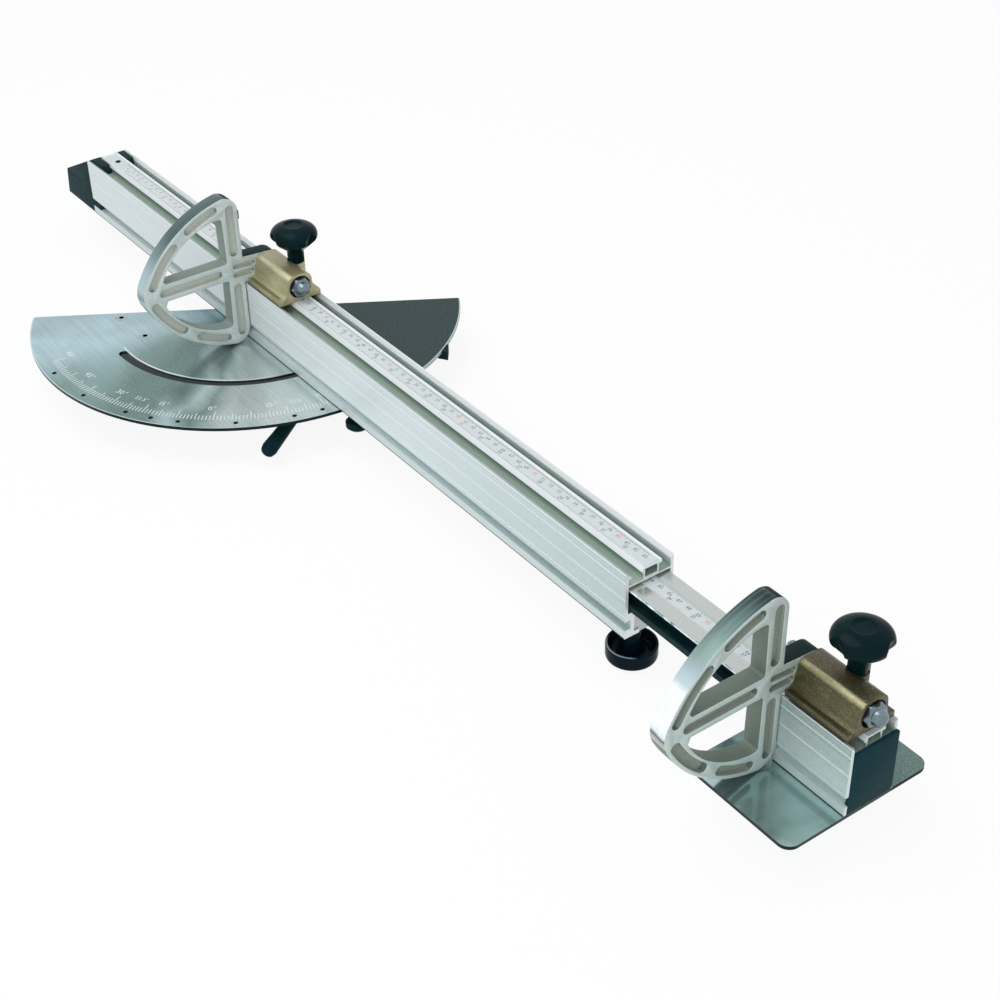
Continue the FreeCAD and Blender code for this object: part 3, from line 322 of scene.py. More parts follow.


# %% [markdown]
# ## Anodised beam
# The beam is an aluminium extrusion: the die leaves long faint lines, and anodising makes it a pale
# blue grey with a satin gloss. Its scribed face lines and sharp top corners carry a painted highlight.
# In the two stop slots painted shade turns the slot green grey, darkest just under the lips, and the
# sloped lips carry a painted highlight at their top. The masks are bands of height and of distance
# from the middle of the beam. Along its length painted light and shade make the beam brightest beside
# the pivot and greyer towards the telescope, as in the picture.

# %% Extruded aluminium
def extruded(name, colour, roughness=0.42, metallic=0.3, painted_light=None):
    """painted_light: an axis and the colours of painted light and shade along it, each at a place in mm.
    """
    finish = Finish(name, colour, metallic=metallic, roughness=roughness)
    if painted_light:
        finish.tone = finish.banded(finish.axis(painted_light[0]), painted_light[1])
    die_lines = finish.grain(1.0, detail=3.0, stretch=(3.0, 700.0, 700.0))
    speckle = finish.grain(900.0, detail=2.0)
    finish.paint(finish.span(die_lines, 0.3, 0.75), shade(finish.colour, 0.80), 0.45)
    finish.paint(finish.span(speckle, 0.45, 0.75), shade(finish.colour, 1.20), 0.35)
    finish.rough(speckle, roughness * 0.85, roughness * 1.25)
    finish.bump(die_lines, 0.12, 0.05 * mm)
    return finish


# %% Heights on the beam's section, in mm above the table
half_width = 22.0
foot_top, groove_top = 10.9, 18.7
slot_floor, slot_top = 48.0, 57.6
scribed_heights = (23.2, 38.2, 53.6)


def fence_finish(name, colour, ends, painted_light, lines):
    finish = extruded(name, colour, painted_light=painted_light)
    bright = (246, 249, 250)
    y, z = finish.axis("Y"), finish.axis("Z")
    across = finish.math("ABSOLUTE", y)
    slot = finish.both(finish.below(across, 19.5, 19.9), finish.within(z, slot_floor - 0.2, slot_top, 0.2))
    height = finish.above(z, slot_floor, slot_top)
    # Painted shade in the stop slots: green grey, darkest just under the lips.
    finish.paint(slot, finish.ramp(height, [(0.0, (204, 216, 208)), (0.35, (172, 190, 178)),
                                            (0.7, (112, 138, 122))]))
    # A painted highlight on the sloped lips, brightest at their top.
    lip = [(0.0, (126, 148, 136)), (0.4, (150, 172, 160)), (0.9, (214, 224, 218))]
    finish.paint(finish.both(slot, finish.above(y, 8.0, 9.0)), finish.ramp(height, lip))
    finish.paint(finish.both(finish.above(across, 20.5, 20.6), finish.below(z, foot_top - 0.3, foot_top)),
                 (200, 214, 213))
    # Painted shade along the bottom, where the beam meets the plate.
    finish.paint(finish.below(z, 4.0, 4.2), (30, 50, 50))
    # The top is painted one light tone, painted light that the shaded sides don't get; a strip of it on
    # the near side is painted a little darker.
    high = finish.above(z, slot_top - 0.1, slot_top + 0.2)
    finish.paint(finish.both(high, finish.below(across, half_width - 0.1, half_width)), (232, 235, 238))
    finish.paint(finish.both(high, finish.below(y, -16.6, -16.4), finish.below(across, 21.6, 21.7)),
                 (190, 206, 208))
    # Painted highlights: the scribed lines and the outer top corners.
    outside = finish.above(across, 21.3, 21.5)
    for line in lines:
        finish.paint(finish.both(finish.within(z, line - 0.45, line + 0.45), outside), bright)
    finish.paint(finish.both(finish.above(across, 21.5, 21.6), finish.above(z, 60.7, 60.8)), bright)
    # Painted shade in the side groove.
    finish.paint(finish.both(finish.within(z, foot_top, groove_top),
                             finish.below(across, half_width - 0.1, half_width - 0.05)), (180, 198, 196))
    along = finish.math("ABSOLUTE", finish.axis("X", "normal"))
    finish.paint(finish.span(along, 0.8, 0.9), ends)
    return finish.done()


# Painted light and shade along the beam: brightest beside the pivot, greyer towards the telescope.
beam_painted_light = [(-280, (212, 221, 224)), (0, (222, 230, 233)), (55, (244, 249, 250)), (130, (240, 247, 248)),
              (260, (216, 230, 232)), (420, (191, 208, 210)), (584, (173, 192, 191))]
beam_metal = fence_finish("anodised_beam", (220, 229, 232), (238, 242, 243), lines=scribed_heights,
                          painted_light=("X", beam_painted_light))
# The block is lighter low down and darker towards its top: a painted reflection of the support plate.
block_metal = fence_finish("anodised_block", (222, 234, 234), (214, 226, 222), lines=scribed_heights[1:],
                           painted_light=("Z", [(3, (222, 234, 234)), (60, (132, 158, 150))]))
plain_metal = extruded("mill_aluminium", (188, 196, 194), metallic=0.6).done()


# %% [markdown]
# The telescope bar is a second extrusion. Its top is pale and speckled and mirrors the beam end.
# Its sides are painted nearly black, painted shade and dark reflection, with a slightly lighter strip
# at the bottom and a broken painted highlight along the top edge.

# %% Telescope bar
def bar_finish():
    finish = Finish("anodised_bar", (198, 203, 202), metallic=0.6, roughness=0.18)
    z = finish.axis("Z")
    speckle = finish.grain(1100.0, detail=3.0)
    finish.paint(finish.span(speckle, 0.35, 0.65), (176, 184, 180), 0.7)
    # Painted shade and dark reflection: the sides are nearly black, with a lighter strip at the bottom.
    flank = finish.both(finish.above(finish.math("ABSOLUTE", finish.axis("Y")), 10.5, 10.6),
                        finish.below(z, 46.9, 47.0))
    finish.paint(flank, (14, 36, 39))
    streak = finish.grain(1.0, detail=3.0, stretch=(60.0, 900.0, 900.0))
    finish.paint(finish.both(flank, finish.span(streak, 0.5, 0.8)), (40, 66, 68), 0.8)
    finish.paint(finish.both(flank, finish.below(z, 32.8, 33.0)), (34, 54, 56))
    # A broken painted highlight along the top edge of the sides.
    highlight_breaks = finish.grain(1.0, detail=3.0, stretch=(160.0, 30.0, 200.0))
    highlight_and_wear = [(0.36, (120, 156, 162)), (0.5, (206, 226, 232)), (0.62, (246, 250, 252))]
    edge = finish.both(flank, finish.within(z, 44.4, 46.7, 0.2), finish.span(highlight_breaks, 0.30, 0.36))
    finish.paint(edge, finish.ramp(highlight_breaks, highlight_and_wear))
    finish.blend(flank, "Metallic", 0.6, 0.0)
    finish.blend(flank, "Specular IOR Level", 0.5, 0.01)
    finish.rough(speckle, 0.14, 0.24)
    finish.bump(speckle, 0.05, 0.02 * mm)
    return finish.done()


bar_metal = bar_finish()
print("aluminium:", beam_metal.name, block_metal.name, bar_metal.name, plain_metal.name)


# %% [markdown]
# ## Cast arms
# Each flip arm is a sand casting. Its pockets keep the sandy, warm grey skin, the raised front is
# bead-blasted, and the outer rim is ground and buffed. The rim's colour is a painted reflection: dark
# at its top and toe and white in its middle, where it faces the lamps, so its tone follows the height.
# The window walls are painted darker, as shade. The arm near the end of the telescope is a painted
# shaded copy, darker all over. Five finishes share one shape, and the faces are sorted later.

# %% Cast and polished aluminium
def sand_cast(name, colour, grain, metallic, roughness=0.6, depth=0.25 * mm):
    finish = Finish(name, colour, metallic=metallic, roughness=roughness)
    sand = finish.grain(grain, detail=5.0, roughness=0.65)
    blotch = finish.grain(60.0, detail=3.0)
    finish.tone = finish.ramp(sand, [(0.30, shade(finish.colour, 0.68)), (0.5, finish.colour),
                                     (0.72, shade(finish.colour, 1.26))])
    finish.paint(finish.span(blotch, 0.35, 0.7), shade(finish.colour, 0.78), 0.4)
    finish.rough(sand, roughness * 0.85, min(1.0, roughness * 1.2))
    finish.bump(sand, 0.30, depth)
    return finish


def rim_finish(name, bands):
    """bands: height in mm and the tone of the painted reflection on the polished rim there."""
    finish = Finish(name, (178, 190, 194), metallic=0.5, roughness=0.3)
    streaks = finish.grain(1.0, detail=3.0, stretch=(700.0, 8.0, 8.0))
    wander = finish.span(finish.grain(40.0), 0.3, 0.7, -1.5 * mm, 1.5 * mm)
    # Painted reflection: the rim's tone follows its height.
    finish.tone = finish.banded(finish.math("ADD", finish.axis("Z"), wander), bands)
    finish.paint(finish.span(streaks, 0.45, 0.8), (150, 166, 166), 0.25)
    finish.rough(streaks, 0.24, 0.40)
    finish.bump(streaks, 0.06, 0.03 * mm)
    return finish.done()


# The window walls are painted darker than the pocket skin, as shade.
def arm_finishes(stop, face, pocket, wall, bands):
    return [sand_cast(stop + "_blasted_face", face, 1600.0, 0.3, roughness=0.42, depth=0.06 * mm).done(),
            sand_cast(stop + "_pocket_skin", pocket, 1100.0, 0.05, roughness=0.7).done(),
            rim_finish(stop + "_buffed_rim", bands), shaded_casting,
            sand_cast(stop + "_window_wall", wall, 1200.0, 0.1).done()]


shaded = sand_cast("shaded_casting", (24, 42, 42), 1300.0, 0.0, roughness=0.5)
shaded.set("Specular IOR Level", 0.06)
shaded_casting = shaded.done()
arm_metals = {
    "beam_stop": arm_finishes("beam_stop", (206, 217, 216), (194, 200, 192), (138, 152, 144), [
        (4, (70, 94, 98)), (60, (120, 146, 150)), (72, (212, 224, 224)), (76, (120, 146, 154)),
        (84, (176, 196, 204)), (100, (160, 182, 190)), (113, (112, 134, 136)), (128, (66, 88, 88)),
        (146, (70, 92, 92))]),
    # The end stop's arm: a painted shaded copy, darker all over.
    "end_stop": arm_finishes("end_stop", (200, 214, 210), (150, 160, 150), (108, 122, 112), [
        (4, (30, 50, 52)), (60, (24, 46, 48)), (69, (34, 54, 56)), (71, (180, 190, 176)),
        (75, (172, 184, 172)), (77, (60, 84, 92)), (80, (230, 240, 246)), (85, (252, 253, 253)),
        (107, (248, 251, 253)), (111, (196, 214, 224)), (117, (172, 193, 200)), (124, (138, 162, 158)),
        (132, (104, 128, 122)), (141, (62, 86, 86)), (149, (26, 48, 50))])}


# %% [markdown]
# ## Bronze carriers, steel fixings and black mouldings
# The carriers are bronze-coloured castings with a speckled skin and some worn flecks, painted shade
# on their tops and a painted highlight along the ridge. The carrier at the telescope end is a painted
# shaded copy of the other. Screws and cap nuts are turned steel. Knobs are glossy moulded plastic
# with a faint orange peel, and the caps at the beam ends are matt plastic with a fine spark-eroded
# grain.

# %% Bronze, steel and plastic
def bronze(name, colour, highlight_and_wear, dark):
    finish = Finish(name, colour, metallic=0.5)
    grain = finish.grain(1000.0)
    drawn = finish.grain(1.0, stretch=(60.0, 220.0, 220.0))
    up, aside = finish.axis("Z", "normal"), finish.axis("Y", "normal")
    finish.paint(finish.span(drawn, 0.40, 0.66), dark, 0.35)
    # Painted shade: the tops are darker.
    finish.paint(finish.span(up, 0.75, 0.98), dark, 0.55)
    # A painted highlight along the ridge, on the near side.
    ridge = finish.both(finish.span(up, 0.46, 0.74), finish.span(up, 0.72, 1.0, 1.0, 0.0),
                        finish.span(aside, -0.3, -0.4), finish.above(finish.axis("Z"), 76.0, 78.0))
    finish.paint(ridge, highlight_and_wear, 0.75)
    finish.paint(finish.span(grain, 0.50, 0.68), dark, 0.4)
    finish.paint(finish.span(grain, 0.46, 0.34), highlight_and_wear, 0.2)
    finish.rough(grain, 0.272, 0.442)
    finish.bump(grain, 0.12, 0.05 * mm)
    return finish.done()


def turned_steel(name, colour, roughness=0.22):
    finish = Finish(name, colour, metallic=0.9, roughness=roughness)
    tool = finish.grain(1.0, detail=2.0, stretch=(900.0, 30.0, 30.0))
    stain = finish.grain(150.0, detail=3.0)
    finish.paint(finish.span(tool, 0.3, 0.7), shade(finish.colour, 0.6), 0.4)
    finish.paint(finish.span(stain, 0.5, 0.7), shade(finish.colour, 0.5), 0.4)
    finish.rough(stain, roughness * 0.8, roughness * 1.4)
    finish.bump(tool, 0.08, 0.03 * mm)
    return finish


def moulded(name, colour, roughness, peel, depth, specular=0.5, lighter=2.0, rim=None):
    """Black ones get a weak reflection, or the white room would turn them grey.

    rim: the colour of a painted highlight on the handwheel's rim, on the side near the beam.
    """
    finish = Finish(name, colour, roughness=roughness, specular=specular)
    skin = finish.grain(peel, detail=3.0)
    dust = finish.grain(peel * 0.12)
    finish.paint(finish.span(dust, 0.45, 0.75), shade(finish.colour, lighter), 0.5)
    finish.rough(dust, roughness * 0.85, min(1.0, roughness * 1.3))
    finish.bump(skin, 0.22, depth)
    if rim:
        # A painted highlight along the near part of the rim.
        near_rim = finish.both(finish.above(finish.axis("Z"), -21.45, -21.3),
                               finish.below(finish.axis("Y"), -13.0, -9.0))
        finish.paint(near_rim, rim)
    return finish.done()


# Lit and shaded copies of one bronze: the darker one is painted shade.
pale_bronze = bronze("pale_bronze", (186, 180, 141), (230, 224, 198), (132, 124, 92))
dark_bronze = bronze("dark_bronze", (99, 93, 64), (200, 193, 150), (56, 53, 38))
fixing_steel = turned_steel("turned_steel", (122, 138, 146), roughness=0.16).done()
sunk = turned_steel("sunk_screw_steel", (176, 190, 190), roughness=0.3)
# Painted shade: below its bright rim, the screw's socket is black.
sunk.paint(sunk.below(sunk.axis("Z"), 2.3, 2.6), (10, 24, 28))
table_steel = sunk.done()
black_oxide = moulded("blackened_steel", (12, 36, 40), 0.38, 900.0, 0.04 * mm, specular=0.02)
knob_plastic = moulded("glossy_black_moulding", (4, 28, 32), 0.2, 260.0, 0.05 * mm, specular=0.06)
wheel_plastic = moulded("polished_black_moulding", (10, 24, 32), 0.1, 200.0, 0.02 * mm, specular=0.04,
                        rim=(128, 148, 164))
cap_plastic = moulded("grained_black_moulding", (34, 54, 58), 0.48, 1400.0, 0.08 * mm, specular=0.02)
block_cap_plastic = moulded("slate_moulding", (26, 56, 62), 0.42, 1200.0, 0.06 * mm, specular=0.02,
                            lighter=1.5)
rubber = moulded("bumper_rubber", (8, 16, 18), 0.7, 700.0, 0.10 * mm, specular=0.02)
tape_white = moulded("scale_tape_lacquer", (207, 214, 215), 0.45, 800.0, 0.02 * mm, specular=0.3,
                     lighter=1.1)
mark_black = moulded("printed_black", (42, 66, 62), 0.5, 500.0, 0.01 * mm, lighter=1.3)
mark_red = moulded("printed_red", (226, 96, 80), 0.5, 500.0, 0.01 * mm, lighter=1.2)
mark_pale = moulded("engraved_mark", (222, 232, 232), 0.5, 500.0, 0.01 * mm, lighter=1.1)
print("finishes:", len(bpy.data.materials))


# %% [markdown]
# ## Give every body its finish
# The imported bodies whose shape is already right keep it. Only the material in their slot changes.

# %% Finishes by node
finish_of = {
    "degree_plate": plate_steel, "support_plate": support_steel, "beam_profile": beam_metal,
    "end_block": block_metal, "extension_bar": bar_metal, "beam_tape": tape_white,
    "extension_tape": tape_white, "swivel_lever": black_oxide, "index_latch": black_oxide,
    "rim_stop": shaded_casting, "index_knob": knob_plastic, "handwheel": wheel_plastic,
    "beam_end_cap": cap_plastic, "end_block_cap": block_cap_plastic, "extension_guide": cap_plastic,
    "pivot_block": plain_metal, "clamp_block": plain_metal, "index_bracket": plain_metal,
    "clamp_pad": dark_bronze, "tape_screw": black_oxide, "table_screws": table_steel,
    # The washers are black, for a dark washer and for the painted shade of the recess round it.
    "beam_stop_washer": black_oxide, "end_stop_washer": black_oxide,
    "beam_stop_bumpers": rubber, "end_stop_bumpers": rubber}
for name, node in nodes.items():
    material = finish_of.get(name, fixing_steel)
    if name.endswith("_knob"):
        material = knob_plastic
    for place in node.material_slots:
        place.material = material
print("dressed", len(nodes), "nodes")


# %% [markdown]
# ## Soft edges on castings and mouldings
# Real cast and moulded edges are rounded, and each one catches a line of light. A copy of the
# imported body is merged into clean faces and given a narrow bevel. It stands exactly where the body
# stands, so the body itself can be hidden.

# %% A bevelled stand-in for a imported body
def softened(node, width, finishes, body, sort=None):
    mesh = nodes[node].data.copy()
    mesh.name = node + "_soft"
    work = bmesh.new()
    work.from_mesh(mesh)
    bmesh.ops.remove_doubles(work, verts=work.verts, dist=1e-6)
    bmesh.ops.dissolve_limit(work, angle_limit=math.radians(1.0), verts=work.verts, edges=work.edges)
    work.to_mesh(mesh)
    work.free()
    piece = placed(node + "_soft", mesh)
    bevel = piece.modifiers.new("soft edges", "BEVEL")
    bevel.width = width
    bevel.segments = 2
    bevel.limit_method = "ANGLE"
    bevel.angle_limit = math.radians(30.0)
    bevel.use_clamp_overlap = True
    bevel.harden_normals = False
    smooth = frozen(piece)
    piece.modifiers.clear()
    piece.data = smooth
    smooth.materials.clear()
    for material in finishes:
        smooth.materials.append(material)
    shell = BVHTree.FromPolygons([v.co for v in smooth.vertices], [f.vertices for f in smooth.polygons])
    for face in smooth.polygons:
        if sort:
            hit = shell.ray_cast(face.center + face.normal * 0.0001, face.normal)
            face.material_index = sort(face, 1.0 if hit[0] is None else hit[3])
        face.use_smooth = True
    smooth.set_sharp_from_angle(angle=math.radians(40.0))
    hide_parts(node)
    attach(piece, body)
    print(piece.name, "faces:", len(smooth.polygons))
    return piece


# %% [markdown]
# An arm's faces get one of five finishes. Faces that look along X are blasted on the outside and
# sandy in the pockets. A face that looks sideways is sorted by how far it sees: a few millimetres
# in a pocket, some centimetres in a window, and without end on the outer rim.

# %% Arms, carriers, caps
def arm_sorter(start_x):
    """0 blasted front, 1 pocket skin, 2 polished outer rim, 3 neck and hub edges, 4 window wall."""
    front, back, bevelled = start_x - 0.0003, start_x - 0.0143, 0.0006
    pocket_wide, endless = 0.0095, 0.5
    hub_side, toe_top = -0.034, 0.02

    def sort(face, clear):
        c, n = face.center, face.normal
        if not back + bevelled < c.x < front - bevelled:
            return 0
        if abs(n.x) > 0.9 or clear < pocket_wide:
            return 1
        if clear < endless:
            return 4
        return 3 if c.y > hub_side and c.z > toe_top else 2
    return sort


for stop, start in (("beam_stop", 0.0493), ("end_stop", 0.7415)):
    arm = softened(stop + "_flap", 0.0008, arm_metals[stop], stop + "_arm", sort=arm_sorter(start))
for stop, material in (("beam_stop", pale_bronze), ("end_stop", dark_bronze)):
    softened(stop + "_carrier", 0.0007, [material], stop)
softened("beam_end_cap", 0.0008, [cap_plastic], "beam")
softened("end_block_cap", 0.0008, [block_cap_plastic], "extension")


# %% [markdown]
# ## Moulded knobs from a formula
# Each clamping knob is a flattened ball on a stem, with a shallow dish on top and three finger
# scoops. It could be carved with booleans, but a formula gives smooth shading: a profile is turned
# about the knob's axis, and wherever a leaning elliptic scoop lies nearer to the axis than the
# profile does, the smaller of the two radii is taken, blended over a millimetre.

# %% Profile and scoops
def smooth_path(points, steps):
    """A smooth line through points in the plane, by the Catmull-Rom rule."""
    path = []
    count = len(points)
    for i in range(count - 1):
        a, b, c, d = (Vector(points[min(max(k, 0), count - 1)]) for k in (i - 1, i, i + 1, i + 2))
        for step in range(steps):
            t = step / steps
            path.append(0.5 * (2 * b + (c - a) * t + (2 * a - 5 * b + 4 * c - d) * t * t
                               + (3 * b - a - 3 * c + d) * t ** 3))
    path.append(Vector(points[-1]))
    return path


def scoop_radius(angle, height):
    """Distance from the knob's axis to the nearest finger scoop, in mm, at an angle and a height."""
    lean = math.radians(22.0)
    out = 20.0 + (height - 95.0) * math.tan(lean)
    long_half, cross_half = 8.5 / math.cos(lean), 8.5
    nearest = 1000.0
    for turn in (20.0, 140.0, 260.0):
        away = angle - math.radians(turn)
        a = (math.cos(away) / long_half) ** 2 + (math.sin(away) / cross_half) ** 2
        b = -2.0 * out * math.cos(away) / long_half ** 2
        c = (out / long_half) ** 2 - 1.0
        rest = b * b - 4.0 * a * c
        if rest > 0.0 and b < 0.0:
            nearest = min(nearest, (-b - math.sqrt(rest)) / (2.0 * a))
    return nearest


def smaller(a, b, blend):
    """The smaller of two numbers, with a rounded changeover."""
    h = min(1.0, max(0.0, 0.5 + 0.5 * (b - a) / blend))
    return b * (1.0 - h) + a * h - blend * h * (1.0 - h)


# %% Turn a profile into a closed mesh
def turned(name, path, centre, segments, material, carve=None, blend=0.9):
    """Spins (radius, height) points in mm about a vertical axis. Both ends lie on the axis."""
    work = bmesh.new()
    rings = []
    for radius, height in path:
        if radius < 1e-4:
            rings.append([work.verts.new((centre[0] * mm, centre[1] * mm, height * mm))])
            continue
        ring = []
        for k in range(segments):
            angle = 2.0 * math.pi * k / segments
            r = smaller(radius, carve(angle, height), blend) if carve else radius
            ring.append(work.verts.new(((centre[0] + r * math.cos(angle)) * mm,
                                        (centre[1] + r * math.sin(angle)) * mm, height * mm)))
        rings.append(ring)
    for low, high in zip(rings, rings[1:]):
        for k in range(segments):
            n = (k + 1) % segments
            corners = [low[k % len(low)], low[n % len(low)], high[n % len(high)], high[k % len(high)]]
            work.faces.new(list(dict.fromkeys(corners)))
    bmesh.ops.recalc_face_normals(work, faces=work.faces)
    mesh = bpy.data.meshes.new(name)
    work.to_mesh(mesh)
    work.free()
    mesh.materials.append(material)
    for face in mesh.polygons:
        face.use_smooth = True
    mesh.set_sharp_from_angle(angle=math.radians(50.0))
    piece = placed(name, mesh)
    print(name, "faces:", len(mesh.polygons))
    return piece


# %% The two knobs
crown = smooth_path([(7.5, 94.2), (8.2, 95.7), (11.6, 98.9), (15.9, 102.4), (19.2, 105.5), (20.6, 107.8),
                     (20.95, 109.8), (20.6, 112.2), (19.5, 114.4), (17.6, 116.3), (14.4, 118.0),
                     (11.0, 119.1), (8.7, 119.45), (7.9, 119.2), (7.4, 118.5), (6.5, 118.0),
                     (3.0, 117.9)], 3)
knob_path = [(0.0, 84.3), (7.1, 84.3), (7.5, 84.8)] + [tuple(p) for p in crown] + [(0.0, 117.9)]
for stop, x in (("beam_stop", 77.3), ("end_stop", 769.5)):
    knob = turned(stop + "_knob_smooth", knob_path, (x, 15.15), 96, knob_plastic, carve=scoop_radius)
    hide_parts(stop + "_knob")
    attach(knob, stop + "_clamp")


# %% [markdown]
# The domed nut at the end of each hinge pin is turned in the same way, with its hexagon as the
# carving, and then tipped over to lie along the pin.

# %% Domed nuts
def hexagon(angle, height):
    """Distance from the axis to the nearest flat, 17 mm across the flats, on the lower part only."""
    sixth = math.pi / 3.0
    return 8.5 / math.cos((angle + sixth / 2.0) % sixth - sixth / 2.0) if height < 9.3 else 1000.0


nut_path = [(0.0, 0.0), (8.2, 0.0), (9.6, 0.9), (9.7, 7.6), (8.6, 8.8), (7.3, 9.2), (6.4, 9.4),
            (6.2, 10.4)]
nut_path += [(6.0 * math.cos(a), 10.6 + 5.5 * math.sin(a)) for a in (0.2, 0.45, 0.7, 0.95, 1.2, 1.4)]
nut_path += [(0.0, 16.1)]
for stop in ("beam_stop", "end_stop"):
    nut_low, nut_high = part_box(stop + "_nut")
    nut = turned(stop + "_domed_nut", nut_path, (0.0, 0.0), 72, fixing_steel, carve=hexagon, blend=0.15)
    middle = (nut_low[0], (nut_low[1] + nut_high[1]) / 2, (nut_low[2] + nut_high[2]) / 2)
    nut.data.transform(Matrix.Translation(middle) @ Matrix.Rotation(math.pi / 2.0, 4, "Y"))
    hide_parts(stop + "_nut")
    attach(nut, stop)


# %% [markdown]
# ## Handwheel
# The telescope clamp is turned by a cup-shaped handwheel under the beam: a polished black bowl that
# is open at the top, with a hub round the screw. It is turned from one closed profile.

# %% Bowl and hub
wheel_low, wheel_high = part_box("handwheel")
wheel_centre = ((wheel_low[0] + wheel_high[0]) / 2 / mm, (wheel_low[1] + wheel_high[1]) / 2 / mm)
bowl = smooth_path([(16.0, -34.9), (18.6, -33.8), (19.9, -31.4), (19.95, -25.0), (19.9, -22.2),
                    (19.4, -21.2), (18.6, -21.05), (17.9, -21.7), (17.3, -24.6), (15.8, -28.6),
                    (12.6, -30.6), (9.0, -30.4), (7.2, -28.4), (6.6, -24.0)], 3)
hub = [(6.4, -9.2), (5.8, -8.1), (4.3, -8.1), (4.3, -27.2), (0.0, -27.2)]
wheel_path = [(0.0, -35.0), (14.5, -35.0)] + [tuple(p) for p in bowl] + hub
wheel = turned("handwheel_bowl", wheel_path, wheel_centre, 72, wheel_plastic)
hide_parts("handwheel")
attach(wheel, "wheel")
print("wheel centre:", [round(v, 2) for v in wheel_centre])


# %% [markdown]
# ## Scales with Geometry Nodes
# A scale is one small bar repeated hundreds of times, longer at every fifth and tenth, so it is a
# job for Geometry Nodes. The tree makes points, moves each by its index, stands a bar on each and
# sets its length from the remainder of the index. One tree works along a line and the other round
# the pivot. The sizes are named inputs, so a scale can be changed without touching the tree.

# %% The tree of a row of marks
mark_lengths = ("First", "Step", "Edge", "Reach", "Level", "Short", "Middle", "Long", "Width", "Height")
mark_inputs = [("Count", "Int"), *((label, "Float") for label in mark_lengths),
               ("Middle every", "Int"), ("Long every", "Int")]


def mark_tree(name, material, round_pivot):
    """First and Step are metres along X, or degrees round the pivot. Edge is Y, or a radius."""
    tree = bpy.data.node_groups.new(name, "GeometryNodeTree")
    tree.interface.new_socket("Marks", in_out="OUTPUT", socket_type="NodeSocketGeometry")
    for label, kind in mark_inputs:
        tree.interface.new_socket(label, in_out="INPUT", socket_type="NodeSocket" + kind)
    sizes = tree.nodes.new("NodeGroupInput").outputs
    index = tree.nodes.new("GeometryNodeInputIndex").outputs[0]

    def value(operation, *values):
        return calculate(tree, operation, *values)

    def vector(x, y, z):
        return feed(tree, tree.nodes.new("ShaderNodeCombineXYZ"), x, y, z)

    middle = value("LESS_THAN", value("MODULO", index, sizes["Middle every"]), 0.5)
    tenth = value("LESS_THAN", value("MODULO", index, sizes["Long every"]), 0.5)
    length = sizes["Short"]
    for chosen, longer in ((middle, sizes["Middle"]), (tenth, sizes["Long"])):
        length = value("ADD", length, value("MULTIPLY", chosen, value("SUBTRACT", longer, length)))
    along = value("ADD", sizes["First"], value("MULTIPLY", index, sizes["Step"]))
    half = value("MULTIPLY", sizes["Reach"], value("MULTIPLY", length, 0.5))
    middle_line = value("ADD", sizes["Edge"], half)
    if round_pivot:
        angle = value("RADIANS", along)
        place = vector(value("MULTIPLY", middle_line, value("COSINE", angle)),
                       value("MULTIPLY", middle_line, value("SINE", angle)), sizes["Level"])
        turn = vector(0.0, 0.0, value("SUBTRACT", angle, math.pi / 2.0))
    else:
        place = vector(along, middle_line, sizes["Level"])
        turn = vector(0.0, 0.0, 0.0)
    stand = tree.nodes.new("GeometryNodeInstanceOnPoints")
    wires = {"Points": feed(tree, tree.nodes.new("GeometryNodePoints"), sizes["Count"], place),
             "Instance": feed(tree, tree.nodes.new("GeometryNodeMeshCube"), (1.0, 1.0, 1.0)),
             "Rotation": feed(tree, tree.nodes.new("FunctionNodeEulerToRotation"), turn),
             "Scale": vector(sizes["Width"], length, sizes["Height"])}
    for socket, source in wires.items():
        tree.links.new(source, stand.inputs[socket])
    real = feed(tree, tree.nodes.new("GeometryNodeRealizeInstances"), stand.outputs[0])
    dress = tree.nodes.new("GeometryNodeSetMaterial")
    dress.inputs["Material"].default_value = material
    tree.links.new(feed(tree, dress, real), tree.nodes.new("NodeGroupOutput").inputs[0])
    return tree


def marks(name, tree, **sizes):
    """Runs a tree once with these sizes and gives back its plain mesh."""
    holder = placed(name, bpy.data.meshes.new(name))
    grow = holder.modifiers.new("marks", "NODES")
    grow.node_group = tree
    for item in tree.interface.items_tree:
        if item.in_out == "INPUT":
            grow[item.identifier] = sizes[item.name.replace(" ", "_").lower()]
    mesh = frozen(holder)
    bpy.data.objects.remove(holder)
    print(name, "marks:", len(mesh.polygons) // 6)
    return mesh


# %% [markdown]
# ## Digits
# Each digit is made once from Blender's own letterforms, thickened by a hair so that it is closed,
# and turned into a mesh. A number is then a few copies of digit meshes, moved into place and joined.
# That keeps the file light and gives one mesh of print for each body.

# %% Digit meshes and numbers
glyphs = {}
glyph_thickness = 0.04


def glyph(character):
    """A digit one unit tall, standing on the origin, as a closed mesh, with its width."""
    if character not in glyphs:
        curve = bpy.data.curves.new("digit", "FONT")
        curve.body = character
        curve.size = 1.4
        curve.extrude = glyph_thickness / 2.0
        curve.resolution_u = 2
        holder = placed("digit", curve)
        bpy.context.view_layer.update()
        mesh = frozen(holder)
        bpy.data.objects.remove(holder)
        wide = max(v.co.x for v in mesh.vertices)
        glyphs[character] = (mesh, wide + 0.14)
    return glyphs[character]


